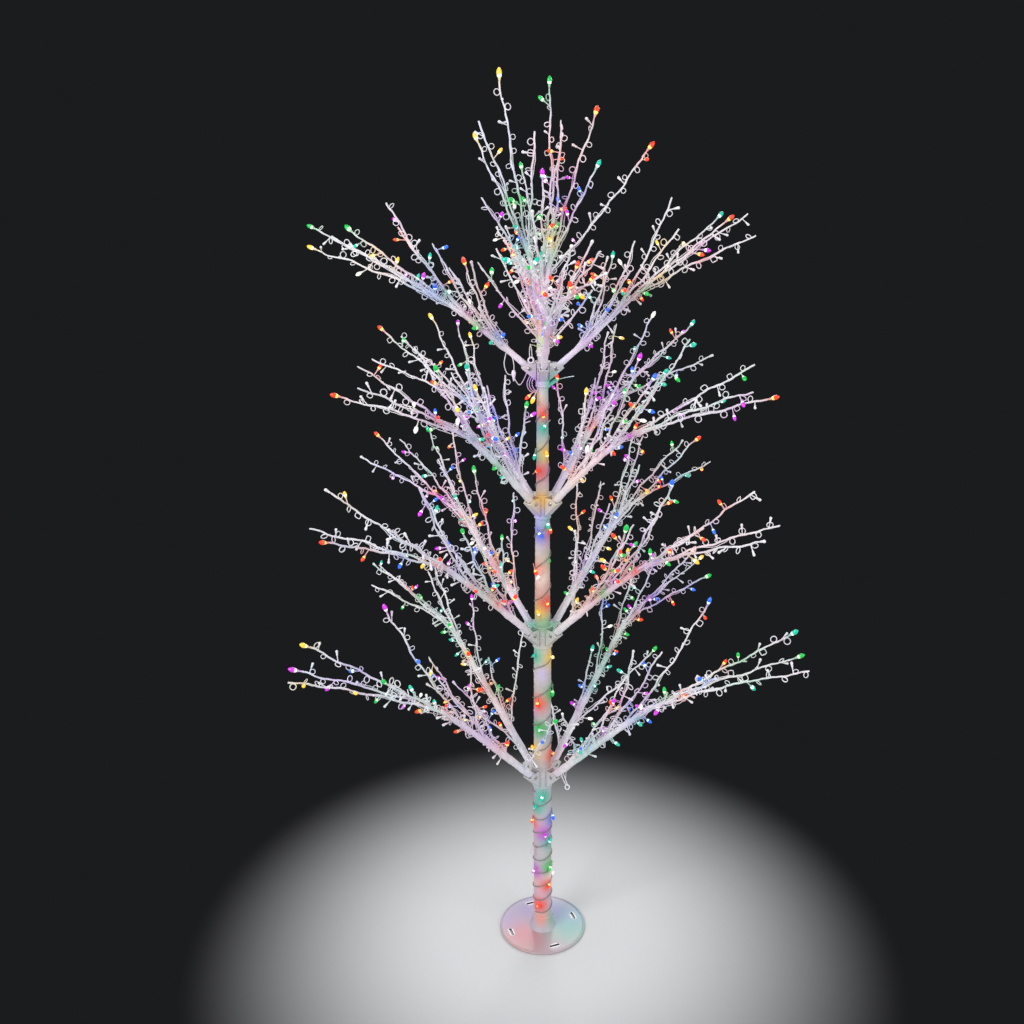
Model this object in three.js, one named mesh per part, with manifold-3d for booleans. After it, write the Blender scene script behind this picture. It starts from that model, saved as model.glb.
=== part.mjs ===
// A free-standing light tree with folding branches, in millimetres, +Z up.
// The origin is the centre of the base plate's underside, and the slots lie on the X and Y axes.
// A tubular trunk of four plugged poles stands over a spigot on the base plate. Four hub sleeves
// carry four branches each, pinned in U-brackets, so that every branch folds up along the trunk.
import * as THREE from 'three';
import { mergeVertices } from 'three/addons/utils/BufferGeometryUtils.js';
import Module from 'manifold-3d';

const wasm = await Module();
wasm.setup();

// Clearances
const fit = 0.3; // between parts that seat on or turn in each other
const windingClearance = 0.5; // between the pole and the string wound on it

// Base plate
const plateRadius = 114;
const plateThickness = 5;
const rimHeight = 6.5; // of the rolled edge above the floor
const rimWidth = 4;
const rimRound = 1.2;
const slotCircleRadius = 89;
const slotLength = 28;
const slotWidth = 7;
const slotCount = 4;

// Collar and spigot that hold the trunk on the plate
const collarHeight = 40;
const collarFootRadius = 36;
const collarWall = 2.5;
const spigotHeight = 90;
const spigotWall = 2.5;

// Trunk poles, from the plate upwards, with the shares of the foot's radius at both their ends
const poleWall = 1.5;
const plugLength = 60; // how far a pole reaches down into the one below
const trunkRadius = 24; // at the foot
const poleTapers = [
  { bottom: 1, top: 0.875 },
  { bottom: 0.79, top: 0.69 },
  { bottom: 0.625, top: 0.52 },
  { bottom: 0.46, top: 0.4 },
];
const trunkHeight = 1640; // top of the highest pole

// Hub sleeves with their U-brackets
const hubBelow = 42; // reach of the sleeve below its pins
const hubAbove = 16;
const hubWall = 3;
const hubLip = 2; // of the flange at the top of the sleeve
const pinOut = 14; // from the sleeve's wall to the pins
const cheekThickness = 2.5;
const cheekRound = 12; // round the pin
const cheekNose = 15; // reach of the bracket along the open branch
const branchesPerHub = 4;

// Pins
const pinRadius = 3;
const pinHeadRadius = 5;
const pinHeadHeight = 1.6;

// Branch stems and twigs
const stemSegments = 4;
const stemLength = 430; // on the lowest tier, like the two radii
const stemRootRadius = 10;
const stemTipRadius = 5;
const twigSegments = 2;
const twigRootRadius = 2.8;
const twigTipRadius = 1.7;
const sway = 2; // degrees by which twigs differ from one branch to the next
const sideStraightening = 0.15; // share of its side angle that a twig loses along its length

// Tiers of branches. level: height of the pins as a share of the trunk's height. turn: degrees
// from +X to the first branch. open: elevation of the open branch, end: its elevation where the
// stem ends. stem and girth: shares of the lowest stems' length and radii. reach: share of the
// twig lengths on each branch, rise: what hand bending adds to each stem's end, in degrees.
// Twigs: joint and length as shares of the stem, side angle and lift above the stem. The outer
// twigs mirror from one branch to the next, the inner ones all turn the same way round the trunk.
const tiers = [
  {
    level: 0.2945, turn: 27, open: 47, end: 45, stem: 1, girth: 1,
    reach: [0.72, 0.7, 1, 1], rise: [0, 0, 0, 0],
    twigs: [
      { along: 0.33, side: 9, lift: 13, length: 0.53 },
      { along: 0.44, side: -13, lift: 16, length: 0.74 },
      { along: 0.6, side: 12, lift: 25, length: 0.67 },
      { along: 0.74, side: -11, lift: 18, length: 0.86 },
      { along: 0.86, side: 18, lift: -4, length: 0.86 },
      { along: 0.95, side: -18, lift: -5, length: 0.88 },
      { along: 1, side: -32, lift: -16, length: 0.77 },
      { along: 1, side: -14, lift: -18, length: 0.88 },
    ],
    innerTwigs: [
      { along: 0.12, side: 38, lift: 26, length: 0.65 },
      { along: 0.27, side: -38, lift: 20, length: 0.7 },
    ],
  },
  {
    level: 0.534, turn: 25, open: 45, end: 41, stem: 0.838, girth: 0.95,
    reach: [0.84, 0.9, 1, 1], rise: [0, 0, 0, 0],
    twigs: [
      { along: 0.31, side: -10, lift: 12, length: 0.64 },
      { along: 0.44, side: 15, lift: 12, length: 0.81 },
      { along: 0.61, side: -12, lift: 22, length: 0.81 },
      { along: 0.78, side: 11, lift: 17, length: 0.89 },
      { along: 0.86, side: -20, lift: 2, length: 0.97 },
      { along: 0.94, side: 20, lift: -4, length: 0.89 },
      { along: 1, side: -27, lift: -15, length: 0.86 },
      { along: 1, side: 5, lift: -16, length: 0.94 },
    ],
    innerTwigs: [
      { along: 0.31, side: 20, lift: 24, length: 0.71 },
      { along: 0.24, side: -16, lift: 30, length: 0.72 },
    ],
  },
  {
    level: 0.737, turn: 26, open: 47, end: 42, stem: 0.652, girth: 0.9,
    reach: [0.9, 0.88, 0.9, 1], rise: [0, 0, 0, -3],
    twigs: [
      { along: 0.32, side: 7, lift: 11, length: 0.86 },
      { along: 0.46, side: -15, lift: 13, length: 0.93 },
      { along: 0.64, side: 11, lift: 18, length: 1 },
      { along: 0.79, side: -9, lift: 17, length: 1.11 },
      { along: 0.89, side: 23, lift: 4, length: 1.11 },
      { along: 0.96, side: -18, lift: -4, length: 1.18 },
      { along: 1, side: -30, lift: -18, length: 1.11 },
      { along: 1, side: -3, lift: -14, length: 1.18 },
    ],
    innerTwigs: [
      { along: 0.25, side: 22, lift: 30, length: 0.78 },
      { along: 0.27, side: -8, lift: 28, length: 0.82 },
    ],
  },
  {
    level: 0.9275, turn: -17, open: 41, end: 38, stem: 0.535, girth: 0.8,
    reach: [0.92, 0.9, 0.98, 0.9], rise: [7, 0, 0, 0],
    twigs: [
      { along: 0.35, side: -10, lift: 16, length: 0.91 },
      { along: 0.52, side: 12, lift: 21, length: 1.04 },
      { along: 0.7, side: -16, lift: 12, length: 1.17 },
      { along: 0.83, side: 10, lift: 19, length: 1.26 },
      { along: 0.91, side: -20, lift: -3, length: 1.3 },
      { along: 0.98, side: 17, lift: -6, length: 1.3 },
      { along: 1, side: -14, lift: -17, length: 1.39 },
      { along: 1, side: -4, lift: -9, length: 1.43 },
    ],
    innerTwigs: [
      { along: 0.34, side: 12, lift: 30, length: 0.82 },
      { along: 0.39, side: 18, lift: 28, length: 0.83 },
    ],
  },
].map((tier) => ({
  ...tier,
  height: tier.level * trunkHeight,
  length: tier.stem * stemLength,
  rootRadius: tier.girth * stemRootRadius,
  tipRadius: tier.girth * stemTipRadius,
}));

// Crown: leaders that spread from the top of the trunk, and the twigs on them. Azimuths are in
// degrees from +X, leans in degrees from upright at the start and at the end of a piece. Lengths
// are shares of the longest one, and a twig's joint is a share of its leader.
const crownPlug = 45;
const leaderSegments = 3;
const leaderLength = 165;
const leaderRootRadius = 7;
const leaderTipRadius = 4.5;
const leaders = [
  { azimuth: 161, lean: [8, 20], length: 1 },
  { azimuth: -16, lean: [5, 13], length: 0.94 },
  { azimuth: 64, lean: [3, 7], length: 0.73 },
];
const crownTwigLength = 330;
const crownTwigs = [
  { leader: 0, along: 1, azimuth: 144, lean: [8, 10], length: 0.98 },
  { leader: 0, along: 0.91, azimuth: 174, lean: [20, 23], length: 0.83 },
  { leader: 0, along: 0.76, azimuth: 139, lean: [26, 27], length: 0.8 },
  { leader: 0, along: 0.55, azimuth: 184, lean: [40, 34], length: 0.61 },
  { leader: 0, along: 0.88, azimuth: -51, lean: [6, 4], length: 0.73 },
  { leader: 1, along: 0.97, azimuth: 89, lean: [7, 2], length: 0.97 },
  { leader: 1, along: 1, azimuth: -81, lean: [9, 4], length: 0.76 },
  { leader: 1, along: 0.97, azimuth: -13, lean: [17, 20], length: 0.83 },
  { leader: 1, along: 0.77, azimuth: -46, lean: [30, 28], length: 0.64 },
  { leader: 1, along: 0.58, azimuth: -15, lean: [46, 34], length: 1 },
  { leader: 2, along: 1, azimuth: 39, lean: [16, 20], length: 0.79 },
  { leader: 2, along: 0.75, azimuth: 99, lean: [24, 22], length: 0.7 },
  { leader: 2, along: 0.5, azimuth: -111, lean: [18, 24], length: 0.73 },
];

// Side spray: a taped band on the highest pole with its own twigs. The band's ends are shares of
// the pole above the top hub. Its twigs leave its wall at a share of the band, and their lengths
// are shares of the longest one.
const bandEnds = [0.11, 0.76];
const bandWall = 2;
const sideTwigLength = 226;
const sideTwigs = [
  { along: 0.61, azimuth: -169, lean: [46, 36], length: 1 },
  { along: 0.93, azimuth: 119, lean: [40, 34], length: 0.92 },
  { along: 0.3, azimuth: -63, lean: [48, 40], length: 0.83 },
];

// Light string wound on the trunk, one winding on each stretch between collar and hubs
const stringRadius = 1.2;
const stringEndGap = 12; // from a winding's end to the collar or hub beside it
const windingTurns = [9, 4, 3, 3];
const windingStart = [200, 40, 310, 120]; // azimuths in degrees

// Roundness
const poleSides = 18;
const plateSides = 36;
const smallSides = 8;
const stemSides = 6;
const twigSides = 4;
const stringSides = 4;
const stringStepsPerTurn = 16;
const eyeSides = 10;
const through = 1; // by which a cutter passes the faces that it cuts

const radians = THREE.MathUtils.degToRad;

// Turns a closed three.js geometry into a solid with its faces pointing out.
function solidOf(geometry) {
  const bare = geometry.index ? geometry.clone() : geometry;
  bare.deleteAttribute('normal');
  bare.deleteAttribute('uv');
  const merged = mergeVertices(bare, 1e-4);
  const place = merged.attributes.position;
  const index = Array.from(merged.index.array);
  const corners = [new THREE.Vector3(), new THREE.Vector3(), new THREE.Vector3()];
  let volume = 0;
  for (let i = 0; i < index.length; i += 3) {
    corners.forEach((corner, j) => corner.fromBufferAttribute(place, index[i + j]));
    volume += corners[0].dot(corners[1].clone().cross(corners[2])) / 6;
  }
  if (volume < 0) {
    for (let i = 0; i < index.length; i += 3) {
      [index[i], index[i + 1]] = [index[i + 1], index[i]];
    }
  }
  const kept = [];
  for (let i = 0; i < index.length; i += 3) {
    const [a, b, c] = index.slice(i, i + 3);
    if (a !== b && b !== c && c !== a) {
      kept.push(a, b, c);
    }
  }
  return new wasm.Manifold(new wasm.Mesh({
    numProp: 3,
    vertProperties: new Float32Array(place.array),
    triVerts: new Uint32Array(kept),
  }));
}

function geometryOf(solid) {
  const mesh = solid.getMesh();
  const geometry = new THREE.BufferGeometry();
  geometry.setAttribute('position', new THREE.BufferAttribute(new Float32Array(mesh.vertProperties), 3));
  geometry.setIndex(Array.from(mesh.triVerts));
  geometry.computeVertexNormals();
  return geometry;
}

function join(solids) {
  return solids.reduce((sum, solid) => sum.add(solid));
}

// Revolves a profile of [radius, height] points round Z. A ring's profile closes on itself.
function revolve(profile, sides) {
  const points = profile.map(([radius, height]) => new THREE.Vector2(radius, height));
  if (profile.every(([radius]) => radius > 0)) {
    points.push(points[0].clone());
  }
  return solidOf(new THREE.LatheGeometry(points, sides).rotateX(Math.PI / 2));
}

// Skins rings of points and closes both ends, which makes a tapered bar that can bend.
function loft(rings) {
  const sides = rings[0].length;
  const positions = rings.flat().flatMap((point) => point.toArray());
  const index = [];
  for (let ring = 0; ring < rings.length - 1; ring += 1) {
    for (let side = 0; side < sides; side += 1) {
      const a = ring * sides + side;
      const b = ring * sides + ((side + 1) % sides);
      index.push(a, b, a + sides, b, b + sides, a + sides);
    }
  }
  const last = (rings.length - 1) * sides;
  for (let side = 1; side < sides - 1; side += 1) {
    index.push(0, side + 1, side, last, last + side, last + side + 1);
  }
  const geometry = new THREE.BufferGeometry();
  geometry.setAttribute('position', new THREE.Float32BufferAttribute(positions, 3));
  geometry.setIndex(index);
  return solidOf(geometry);
}

// A round bar along a line of points, whose radius goes evenly from the first to the last point.
function taperedBar(points, startRadius, endRadius, sides) {
  const overall = points[points.length - 1].clone().sub(points[0]).normalize();
  const reference = Math.abs(overall.y) < 0.9 ? new THREE.Vector3(0, 1, 0) : new THREE.Vector3(1, 0, 0);
  const rings = points.map((point, i) => {
    const before = points[Math.max(i - 1, 0)];
    const after = points[Math.min(i + 1, points.length - 1)];
    const tangent = after.clone().sub(before).normalize();
    const across = reference.clone().addScaledVector(tangent, -reference.dot(tangent)).normalize();
    const up = tangent.clone().cross(across);
    const radius = THREE.MathUtils.lerp(startRadius, endRadius, i / (points.length - 1));
    return Array.from({ length: sides }, (_, side) => {
      const angle = ((side + 0.5) / sides) * 2 * Math.PI;
      return point.clone()
        .addScaledVector(across, Math.cos(angle) * radius)
        .addScaledVector(up, Math.sin(angle) * radius);
    });
  });
  return loft(rings);
}

// A cylinder whose axis lies along Y.
function crossCylinder(radius, length, sides) {
  return solidOf(new THREE.CylinderGeometry(radius, radius, length, sides));
}

// An outline of [x, z] points as a plate of a given thickness, centred on y.
function uprightPlate(outline, thickness, y) {
  const shape = new THREE.Shape(outline.map(([x, z]) => new THREE.Vector2(x, z)));
  const geometry = new THREE.ExtrudeGeometry(shape, { depth: thickness, bevelEnabled: false });
  geometry.rotateX(Math.PI / 2);
  geometry.translate(0, y + thickness / 2, 0);
  return solidOf(geometry);
}

const group = new THREE.Group();
group.name = 'light_tree';

function addMesh(name, solid, look, parent = group) {
  const material = new THREE.MeshStandardMaterial(look);
  const mesh = new THREE.Mesh(geometryOf(solid), material);
  mesh.name = name;
  parent.add(mesh);
  return mesh;
}

const coatedSteel = { color: 0xe9e7e2, roughness: 0.45, metalness: 0.1 };
const whiteTape = { color: 0xe6e2da, roughness: 0.85, metalness: 0 };
const zincSteel = { color: 0xb9bbbd, roughness: 0.4, metalness: 0.9 };
const clearFlex = { color: 0xdcdcd6, roughness: 0.5, metalness: 0 };

// Trunk: where each pole starts and ends, and its radius on the way
const jointHeights = tiers.slice(1).map((tier) => tier.height + hubAbove);
const poles = poleTapers.map(({ bottom, top }, i) => ({
  bottom: bottom * trunkRadius,
  top: top * trunkRadius,
  from: (i === 0 ? plateThickness : jointHeights[i - 1]) + fit,
  to: i < jointHeights.length ? jointHeights[i] : trunkHeight,
}));

function poleRadiusAt(pole, height) {
  const share = (height - pole.from) / (pole.to - pole.from);
  return THREE.MathUtils.lerp(pole.bottom, pole.top, share);
}

function makeBasePlate() {
  const innerRim = plateRadius - rimWidth;
  const disc = revolve([
    [0, 0],
    [plateRadius - rimRound, 0],
    [plateRadius, rimRound],
    [plateRadius, rimHeight - rimRound],
    [plateRadius - rimRound, rimHeight],
    [innerRim, rimHeight],
    [innerRim - rimRound, plateThickness],
    [0, plateThickness],
  ], plateSides);
  const halfRun = (slotLength - slotWidth) / 2;
  const outline = new THREE.Shape();
  outline.absarc(0, halfRun, slotWidth / 2, 0, Math.PI, false);
  outline.absarc(0, -halfRun, slotWidth / 2, Math.PI, 2 * Math.PI, false);
  const depth = plateThickness + 2 * through;
  const cutter = new THREE.ExtrudeGeometry(outline, { depth, bevelEnabled: false, curveSegments: 5 });
  let plate = disc;
  for (let i = 0; i < slotCount; i += 1) {
    const slot = cutter.clone();
    slot.translate(slotCircleRadius, 0, -through);
    slot.rotateZ((i / slotCount) * 2 * Math.PI);
    plate = plate.subtract(solidOf(slot));
  }
  return plate;
}

// The flared collar covers the foot of the trunk and stands on the plate.
function makeCollar() {
  const neck = poles[0].bottom + fit;
  const foot = plateThickness;
  const flare = [0, 0.25, 0.55, 1];
  const outside = flare.map((share) => {
    const spread = (1 - share) ** 3;
    const radius = THREE.MathUtils.lerp(neck + collarWall, collarFootRadius, spread);
    return [radius, foot + share * collarHeight];
  });
  const inside = [...flare].reverse().map((share) => {
    const spread = (1 - share) ** 3;
    const radius = THREE.MathUtils.lerp(neck, collarFootRadius - collarWall, spread);
    return [radius, foot + share * collarHeight];
  });
  return revolve([...outside, ...inside], poleSides);
}

function makeSpigot() {
  const outer = poles[0].bottom - poleWall - fit - (poles[0].bottom - poleRadiusAt(poles[0], spigotHeight));
  const inner = outer - spigotWall;
  const foot = plateThickness;
  return revolve([
    [inner, foot],
    [outer, foot],
    [outer, foot + spigotHeight],
    [inner, foot + spigotHeight],
  ], poleSides);
}

// A tapered tube. All but the lowest end in a narrower plug that sits in the pole below.
function makePole(i) {
  const pole = poles[i];
  if (i === 0) {
    return revolve([
      [pole.bottom - poleWall, pole.from],
      [pole.bottom, pole.from],
      [pole.top, pole.to],
      [pole.top - poleWall, pole.to],
    ], poleSides);
  }
  const plug = poles[i - 1].top - poleWall - fit;
  return revolve([
    [plug - poleWall, pole.from - plugLength],
    [plug, pole.from - plugLength],
    [plug, pole.from],
    [pole.bottom, pole.from],
    [pole.top, pole.to],
    [pole.top - poleWall, pole.to],
    [Math.min(plug, pole.bottom) - poleWall, pole.from],
  ], poleSides);
}

// Sizes of a tier's hub. The three upper hubs sit on the top end of the pole below their joint.
function hubSizes(i) {
  const tier = tiers[i];
  const pole = poles[Math.max(i - 1, 0)];
  const bore = poleRadiusAt(pole, tier.height - hubBelow) + fit;
  const wall = bore + hubWall;
  return { bore, wall, pin: wall + pinOut, gap: 2 * (tier.rootRadius + fit) };
}

// One U-bracket in the plane of its branch, x out from the trunk and z up from the pin.
function makeBracket(i) {
  const tier = tiers[i];
  const { wall, pin, gap } = hubSizes(i);
  const open = radians(tier.open);
  const along = [Math.cos(open), Math.sin(open)];
  const below = [Math.sin(open), -Math.cos(open)];
  const at = (drop, reach) => [
    pin + below[0] * drop + along[0] * reach,
    below[1] * drop + along[1] * reach,
  ];
  const rest = tier.rootRadius + fit; // the open branch lies on the web at this distance
  const sunk = wall - hubWall / 2; // the bracket's root inside the sleeve's wall
  const rootReach = (drop) => (sunk - pin - below[0] * drop) / along[0];
  const crownSteps = 2;
  const crownFrom = open + Math.PI / 8;
  const roundTop = Array.from({ length: crownSteps + 1 }, (_, step) => {
    const angle = THREE.MathUtils.lerp(crownFrom, Math.PI / 2, step / crownSteps);
    return [pin + cheekRound * Math.cos(angle), cheekRound * Math.sin(angle)];
  });
  const outline = [
    at(rest + cheekThickness, rootReach(rest + cheekThickness)),
    at(rest + cheekThickness, cheekNose),
    at(0, cheekNose),
    ...roundTop,
    [sunk, cheekRound],
  ];
  const web = [
    at(rest + cheekThickness, rootReach(rest + cheekThickness)),
    at(rest + cheekThickness, cheekNose),
    at(rest, cheekNose),
    at(rest, rootReach(rest)),
  ];
  const side = (gap + cheekThickness) / 2;
  const hole = crossCylinder(pinRadius + fit, gap + 4 * cheekThickness, smallSides).translate([pin, 0, 0]);
  const cheeks = uprightPlate(outline, cheekThickness, side)
    .add(uprightPlate(outline, cheekThickness, -side))
    .subtract(hole);
  return cheeks.add(uprightPlate(web, gap + cheekThickness, 0));
}

function makeHub(i) {
  const tier = tiers[i];
  const { bore, wall } = hubSizes(i);
  const sleeve = revolve([
    [bore, -hubBelow],
    [wall, -hubBelow],
    [wall, hubAbove - 2 * hubLip],
    [wall + hubLip, hubAbove - hubLip],
    [wall + hubLip, hubAbove],
    [bore, hubAbove],
  ], poleSides);
  const core = solidOf(new THREE.CylinderGeometry(bore, bore, hubBelow + 4 * hubAbove, poleSides)
    .rotateX(Math.PI / 2));
  let hub = sleeve;
  for (let k = 0; k < branchesPerHub; k += 1) {
    const turn = tier.turn + (k / branchesPerHub) * 360;
    hub = hub.add(makeBracket(i).rotate([0, 0, turn]));
  }
  return hub.subtract(core);
}

function pointAlong(points, share) {
  const scaled = Math.min(share, 1) * (points.length - 1);
  const segment = Math.min(Math.floor(scaled), points.length - 2);
  return points[segment].clone().lerp(points[segment + 1], scaled - segment);
}

// The stem's centre line from the pin, with its elevation on each segment.
function stemLine(tier, k) {
  const step = tier.length / stemSegments;
  const points = [new THREE.Vector3(0, 0, 0)];
  const elevations = [];
  for (let segment = 0; segment < stemSegments; segment += 1) {
    const share = segment / (stemSegments - 1);
    const elevation = radians(THREE.MathUtils.lerp(tier.open, tier.end + tier.rise[k], share));
    elevations.push(elevation);
    const last = points[points.length - 1];
    points.push(last.clone().add(new THREE.Vector3(Math.cos(elevation), 0, Math.sin(elevation)).multiplyScalar(step)));
  }
  return { points, elevations };
}

// A twig's centre line. It leaves the stem to one side, and straightens on its way.
function twigLine(tier, stem, twig, side, reach) {
  const start = pointAlong(stem.points, twig.along);
  const elevation = stem.elevations[Math.min(Math.floor(twig.along * stemSegments), stemSegments - 1)];
  const step = (twig.length * tier.length * reach) / twigSegments;
  const points = [start];
  for (let part = 0; part < twigSegments; part += 1) {
    const way = (part + 0.5) / twigSegments;
    const turn = radians(side * (1 - sideStraightening * way));
    const rise = elevation + radians(twig.lift * (0.75 + 0.5 * way));
    const direction = new THREE.Vector3(
      Math.cos(rise) * Math.cos(turn),
      Math.sin(turn),
      Math.sin(rise) * Math.cos(turn),
    );
    points.push(points[points.length - 1].clone().addScaledVector(direction, step));
  }
  return points;
}

function twigLines(tier, k, stem) {
  const mirror = k % 2 === 0 ? 1 : -1;
  const outer = tier.twigs.map((twig, i) => {
    const side = mirror * (twig.side + sway * Math.sin(2.4 * k + 1.7 * i));
    return twigLine(tier, stem, twig, side, tier.reach[k]);
  });
  const inner = tier.innerTwigs.map((twig) => twigLine(tier, stem, twig, twig.side, 1));
  return [...outer, ...inner];
}

// A branch about its pin: the eye, the tapering stem and the twigs taped to it.
function makeBranch(i, k) {
  const tier = tiers[i];
  const stem = stemLine(tier, k);
  const eyeWidth = 2 * tier.rootRadius - 1;
  const parts = [
    crossCylinder(tier.rootRadius, eyeWidth, eyeSides),
    taperedBar(stem.points, eyeWidth / 2, tier.tipRadius, stemSides),
  ];
  twigLines(tier, k, stem).forEach((line) => {
    parts.push(taperedBar(line, twigRootRadius, twigTipRadius, twigSides));
  });
  const hole = crossCylinder(pinRadius + fit, eyeWidth + 4 * through, smallSides);
  return join(parts).subtract(hole);
}

// A rivet through both cheeks and the eye, with a low pointed head on each side.
function makePin(i) {
  const outside = hubSizes(i).gap / 2 + cheekThickness + fit;
  return revolve([
    [0, -outside - pinHeadHeight],
    [pinHeadRadius, -outside],
    [pinRadius, -outside],
    [pinRadius, outside],
    [pinHeadRadius, outside],
    [0, outside + pinHeadHeight],
  ], smallSides).rotate([90, 0, 0]);
}

// A line that starts at a point and leans away from upright towards an azimuth.
function leaningLine(start, azimuth, lean, length, segments) {
  const points = [start.clone()];
  for (let part = 0; part < segments; part += 1) {
    const tilt = radians(THREE.MathUtils.lerp(lean[0], lean[1], (part + 0.5) / segments));
    const heading = radians(azimuth);
    const direction = new THREE.Vector3(
      Math.sin(tilt) * Math.cos(heading),
      Math.sin(tilt) * Math.sin(heading),
      Math.cos(tilt),
    );
    points.push(points[points.length - 1].clone().addScaledVector(direction, length / segments));
  }
  return points;
}

// The crown is one bundle of taped twigs, whose root plugs into the top of the trunk.
function makeCrown() {
  const top = new THREE.Vector3(0, 0, trunkHeight);
  const plugRadius = poles[poles.length - 1].top - poleWall - fit;
  const root = Math.min(leaderRootRadius, plugRadius);
  const parts = [revolve([
    [0, trunkHeight - crownPlug],
    [plugRadius, trunkHeight - crownPlug],
    [plugRadius, trunkHeight + 2 * through],
    [0, trunkHeight + 2 * through],
  ], 2 * smallSides)];
  const lines = leaders.map(({ azimuth, lean, length }) => (
    leaningLine(top, azimuth, lean, length * leaderLength, leaderSegments)
  ));
  lines.forEach((line) => parts.push(taperedBar(line, root, leaderTipRadius, stemSides)));
  crownTwigs.forEach(({ leader, along, azimuth, lean, length }) => {
    const start = pointAlong(lines[leader], along);
    const line = leaningLine(start, azimuth, lean, length * crownTwigLength, twigSegments);
    parts.push(taperedBar(line, twigRootRadius, twigTipRadius, twigSides));
  });
  return join(parts);
}

function makeSideSpray() {
  const pole = poles[poles.length - 1];
  const hubTop = tiers[tiers.length - 1].height + hubAbove;
  const [low, high] = bandEnds.map((share) => THREE.MathUtils.lerp(hubTop, trunkHeight, share));
  const bore = poleRadiusAt(pole, low) + fit;
  const band = revolve([
    [bore, low],
    [bore + bandWall, low],
    [bore + bandWall, high],
    [bore, high],
  ], poleSides);
  const twigs = sideTwigs.map(({ along, azimuth, lean, length }) => {
    const out = bore + bandWall / 2;
    const heading = radians(azimuth);
    const height = THREE.MathUtils.lerp(low, high, along);
    const start = new THREE.Vector3(out * Math.cos(heading), out * Math.sin(heading), height);
    const line = leaningLine(start, azimuth, lean, length * sideTwigLength, twigSegments);
    return taperedBar(line, twigRootRadius, twigTipRadius, twigSides);
  });
  const core = solidOf(new THREE.CylinderGeometry(bore, bore, 2 * trunkHeight, poleSides).rotateX(Math.PI / 2));
  return join([band, ...twigs]).subtract(core);
}

// The stretches of trunk that carry a winding: from one collar or hub to the next hub.
const windingStretches = tiers.map((tier, i) => ({
  pole: poles[Math.max(i - 1, 0)],
  from: (i === 0 ? plateThickness + collarHeight : tiers[i - 1].height + hubAbove) + stringEndGap,
  to: tier.height - hubBelow - stringEndGap,
  turns: windingTurns[i],
  start: windingStart[i],
}));

function windingPoints({ pole, from, to, turns, start }) {
  const steps = turns * stringStepsPerTurn;
  const points = Array.from({ length: steps + 1 }, (_, step) => {
    const share = step / steps;
    const height = THREE.MathUtils.lerp(from, to, share);
    const radius = poleRadiusAt(pole, height) + windingClearance + stringRadius;
    const angle = radians(start) + share * turns * 2 * Math.PI;
    return new THREE.Vector3(Math.cos(angle) * radius, Math.sin(angle) * radius, height);
  });
  const lengthen = (end, inner) => end.clone().add(end.clone().sub(inner).setLength(2 * stringRadius));
  const first = lengthen(points[0], points[1]);
  const last = lengthen(points[points.length - 1], points[points.length - 2]);
  return [first, ...points, last];
}

// The least gap between turns of a winding, measured on its centre line's points.
function leastGap(points) {
  let least = Infinity;
  for (let a = 0; a < points.length; a += 1) {
    for (let b = a + stringStepsPerTurn / 2; b < points.length; b += 1) {
      least = Math.min(least, points[a].distanceTo(points[b]) - 2 * stringRadius);
    }
  }
  return least;
}

function makeWinding(stretch, name) {
  const points = windingPoints(stretch);
  console.log(`${name}: least gap between turns ${leastGap(points).toFixed(1)} mm`);
  const rings = points.map((point, i) => {
    const before = points[Math.max(i - 1, 0)];
    const after = points[Math.min(i + 1, points.length - 1)];
    const tangent = after.clone().sub(before).normalize();
    const outward = new THREE.Vector3(point.x, point.y, 0).normalize();
    const up = tangent.clone().cross(outward).normalize();
    const across = up.clone().cross(tangent);
    return Array.from({ length: stringSides }, (_, side) => {
      const angle = (side / stringSides) * 2 * Math.PI;
      return point.clone()
        .addScaledVector(across, Math.cos(angle) * stringRadius)
        .addScaledVector(up, Math.sin(angle) * stringRadius);
    });
  });
  return loft(rings);
}

addMesh('base_plate', makeBasePlate(), coatedSteel);
addMesh('base_spigot', makeSpigot(), zincSteel);
addMesh('base_collar', makeCollar(), coatedSteel);
poles.forEach((_, i) => addMesh(`pole_${i + 1}`, makePole(i), whiteTape));

tiers.forEach((tier, i) => {
  const hub = addMesh(`hub_${i + 1}`, makeHub(i), coatedSteel);
  hub.position.z = tier.height;
  for (let k = 0; k < branchesPerHub; k += 1) {
    const seat = new THREE.Group();
    seat.rotation.z = radians(tier.turn + (k / branchesPerHub) * 360);
    seat.position.z = tier.height;
    group.add(seat);
    const branch = addMesh(`branch_${i + 1}_${k + 1}`, makeBranch(i, k), whiteTape, seat);
    branch.position.x = hubSizes(i).pin;
    const pin = addMesh(`pin_${i + 1}_${k + 1}`, makePin(i), zincSteel, seat);
    pin.position.x = hubSizes(i).pin;
  }
});

addMesh('crown_spray', makeCrown(), whiteTape);
addMesh('side_spray', makeSideSpray(), whiteTape);
windingStretches.forEach((stretch, i) => {
  const name = `trunk_string_${i + 1}`;
  addMesh(name, makeWinding(stretch, name), clearFlex);
});

export default group;
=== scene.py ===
import math
import random
from collections import defaultdict
from functools import partial

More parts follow.
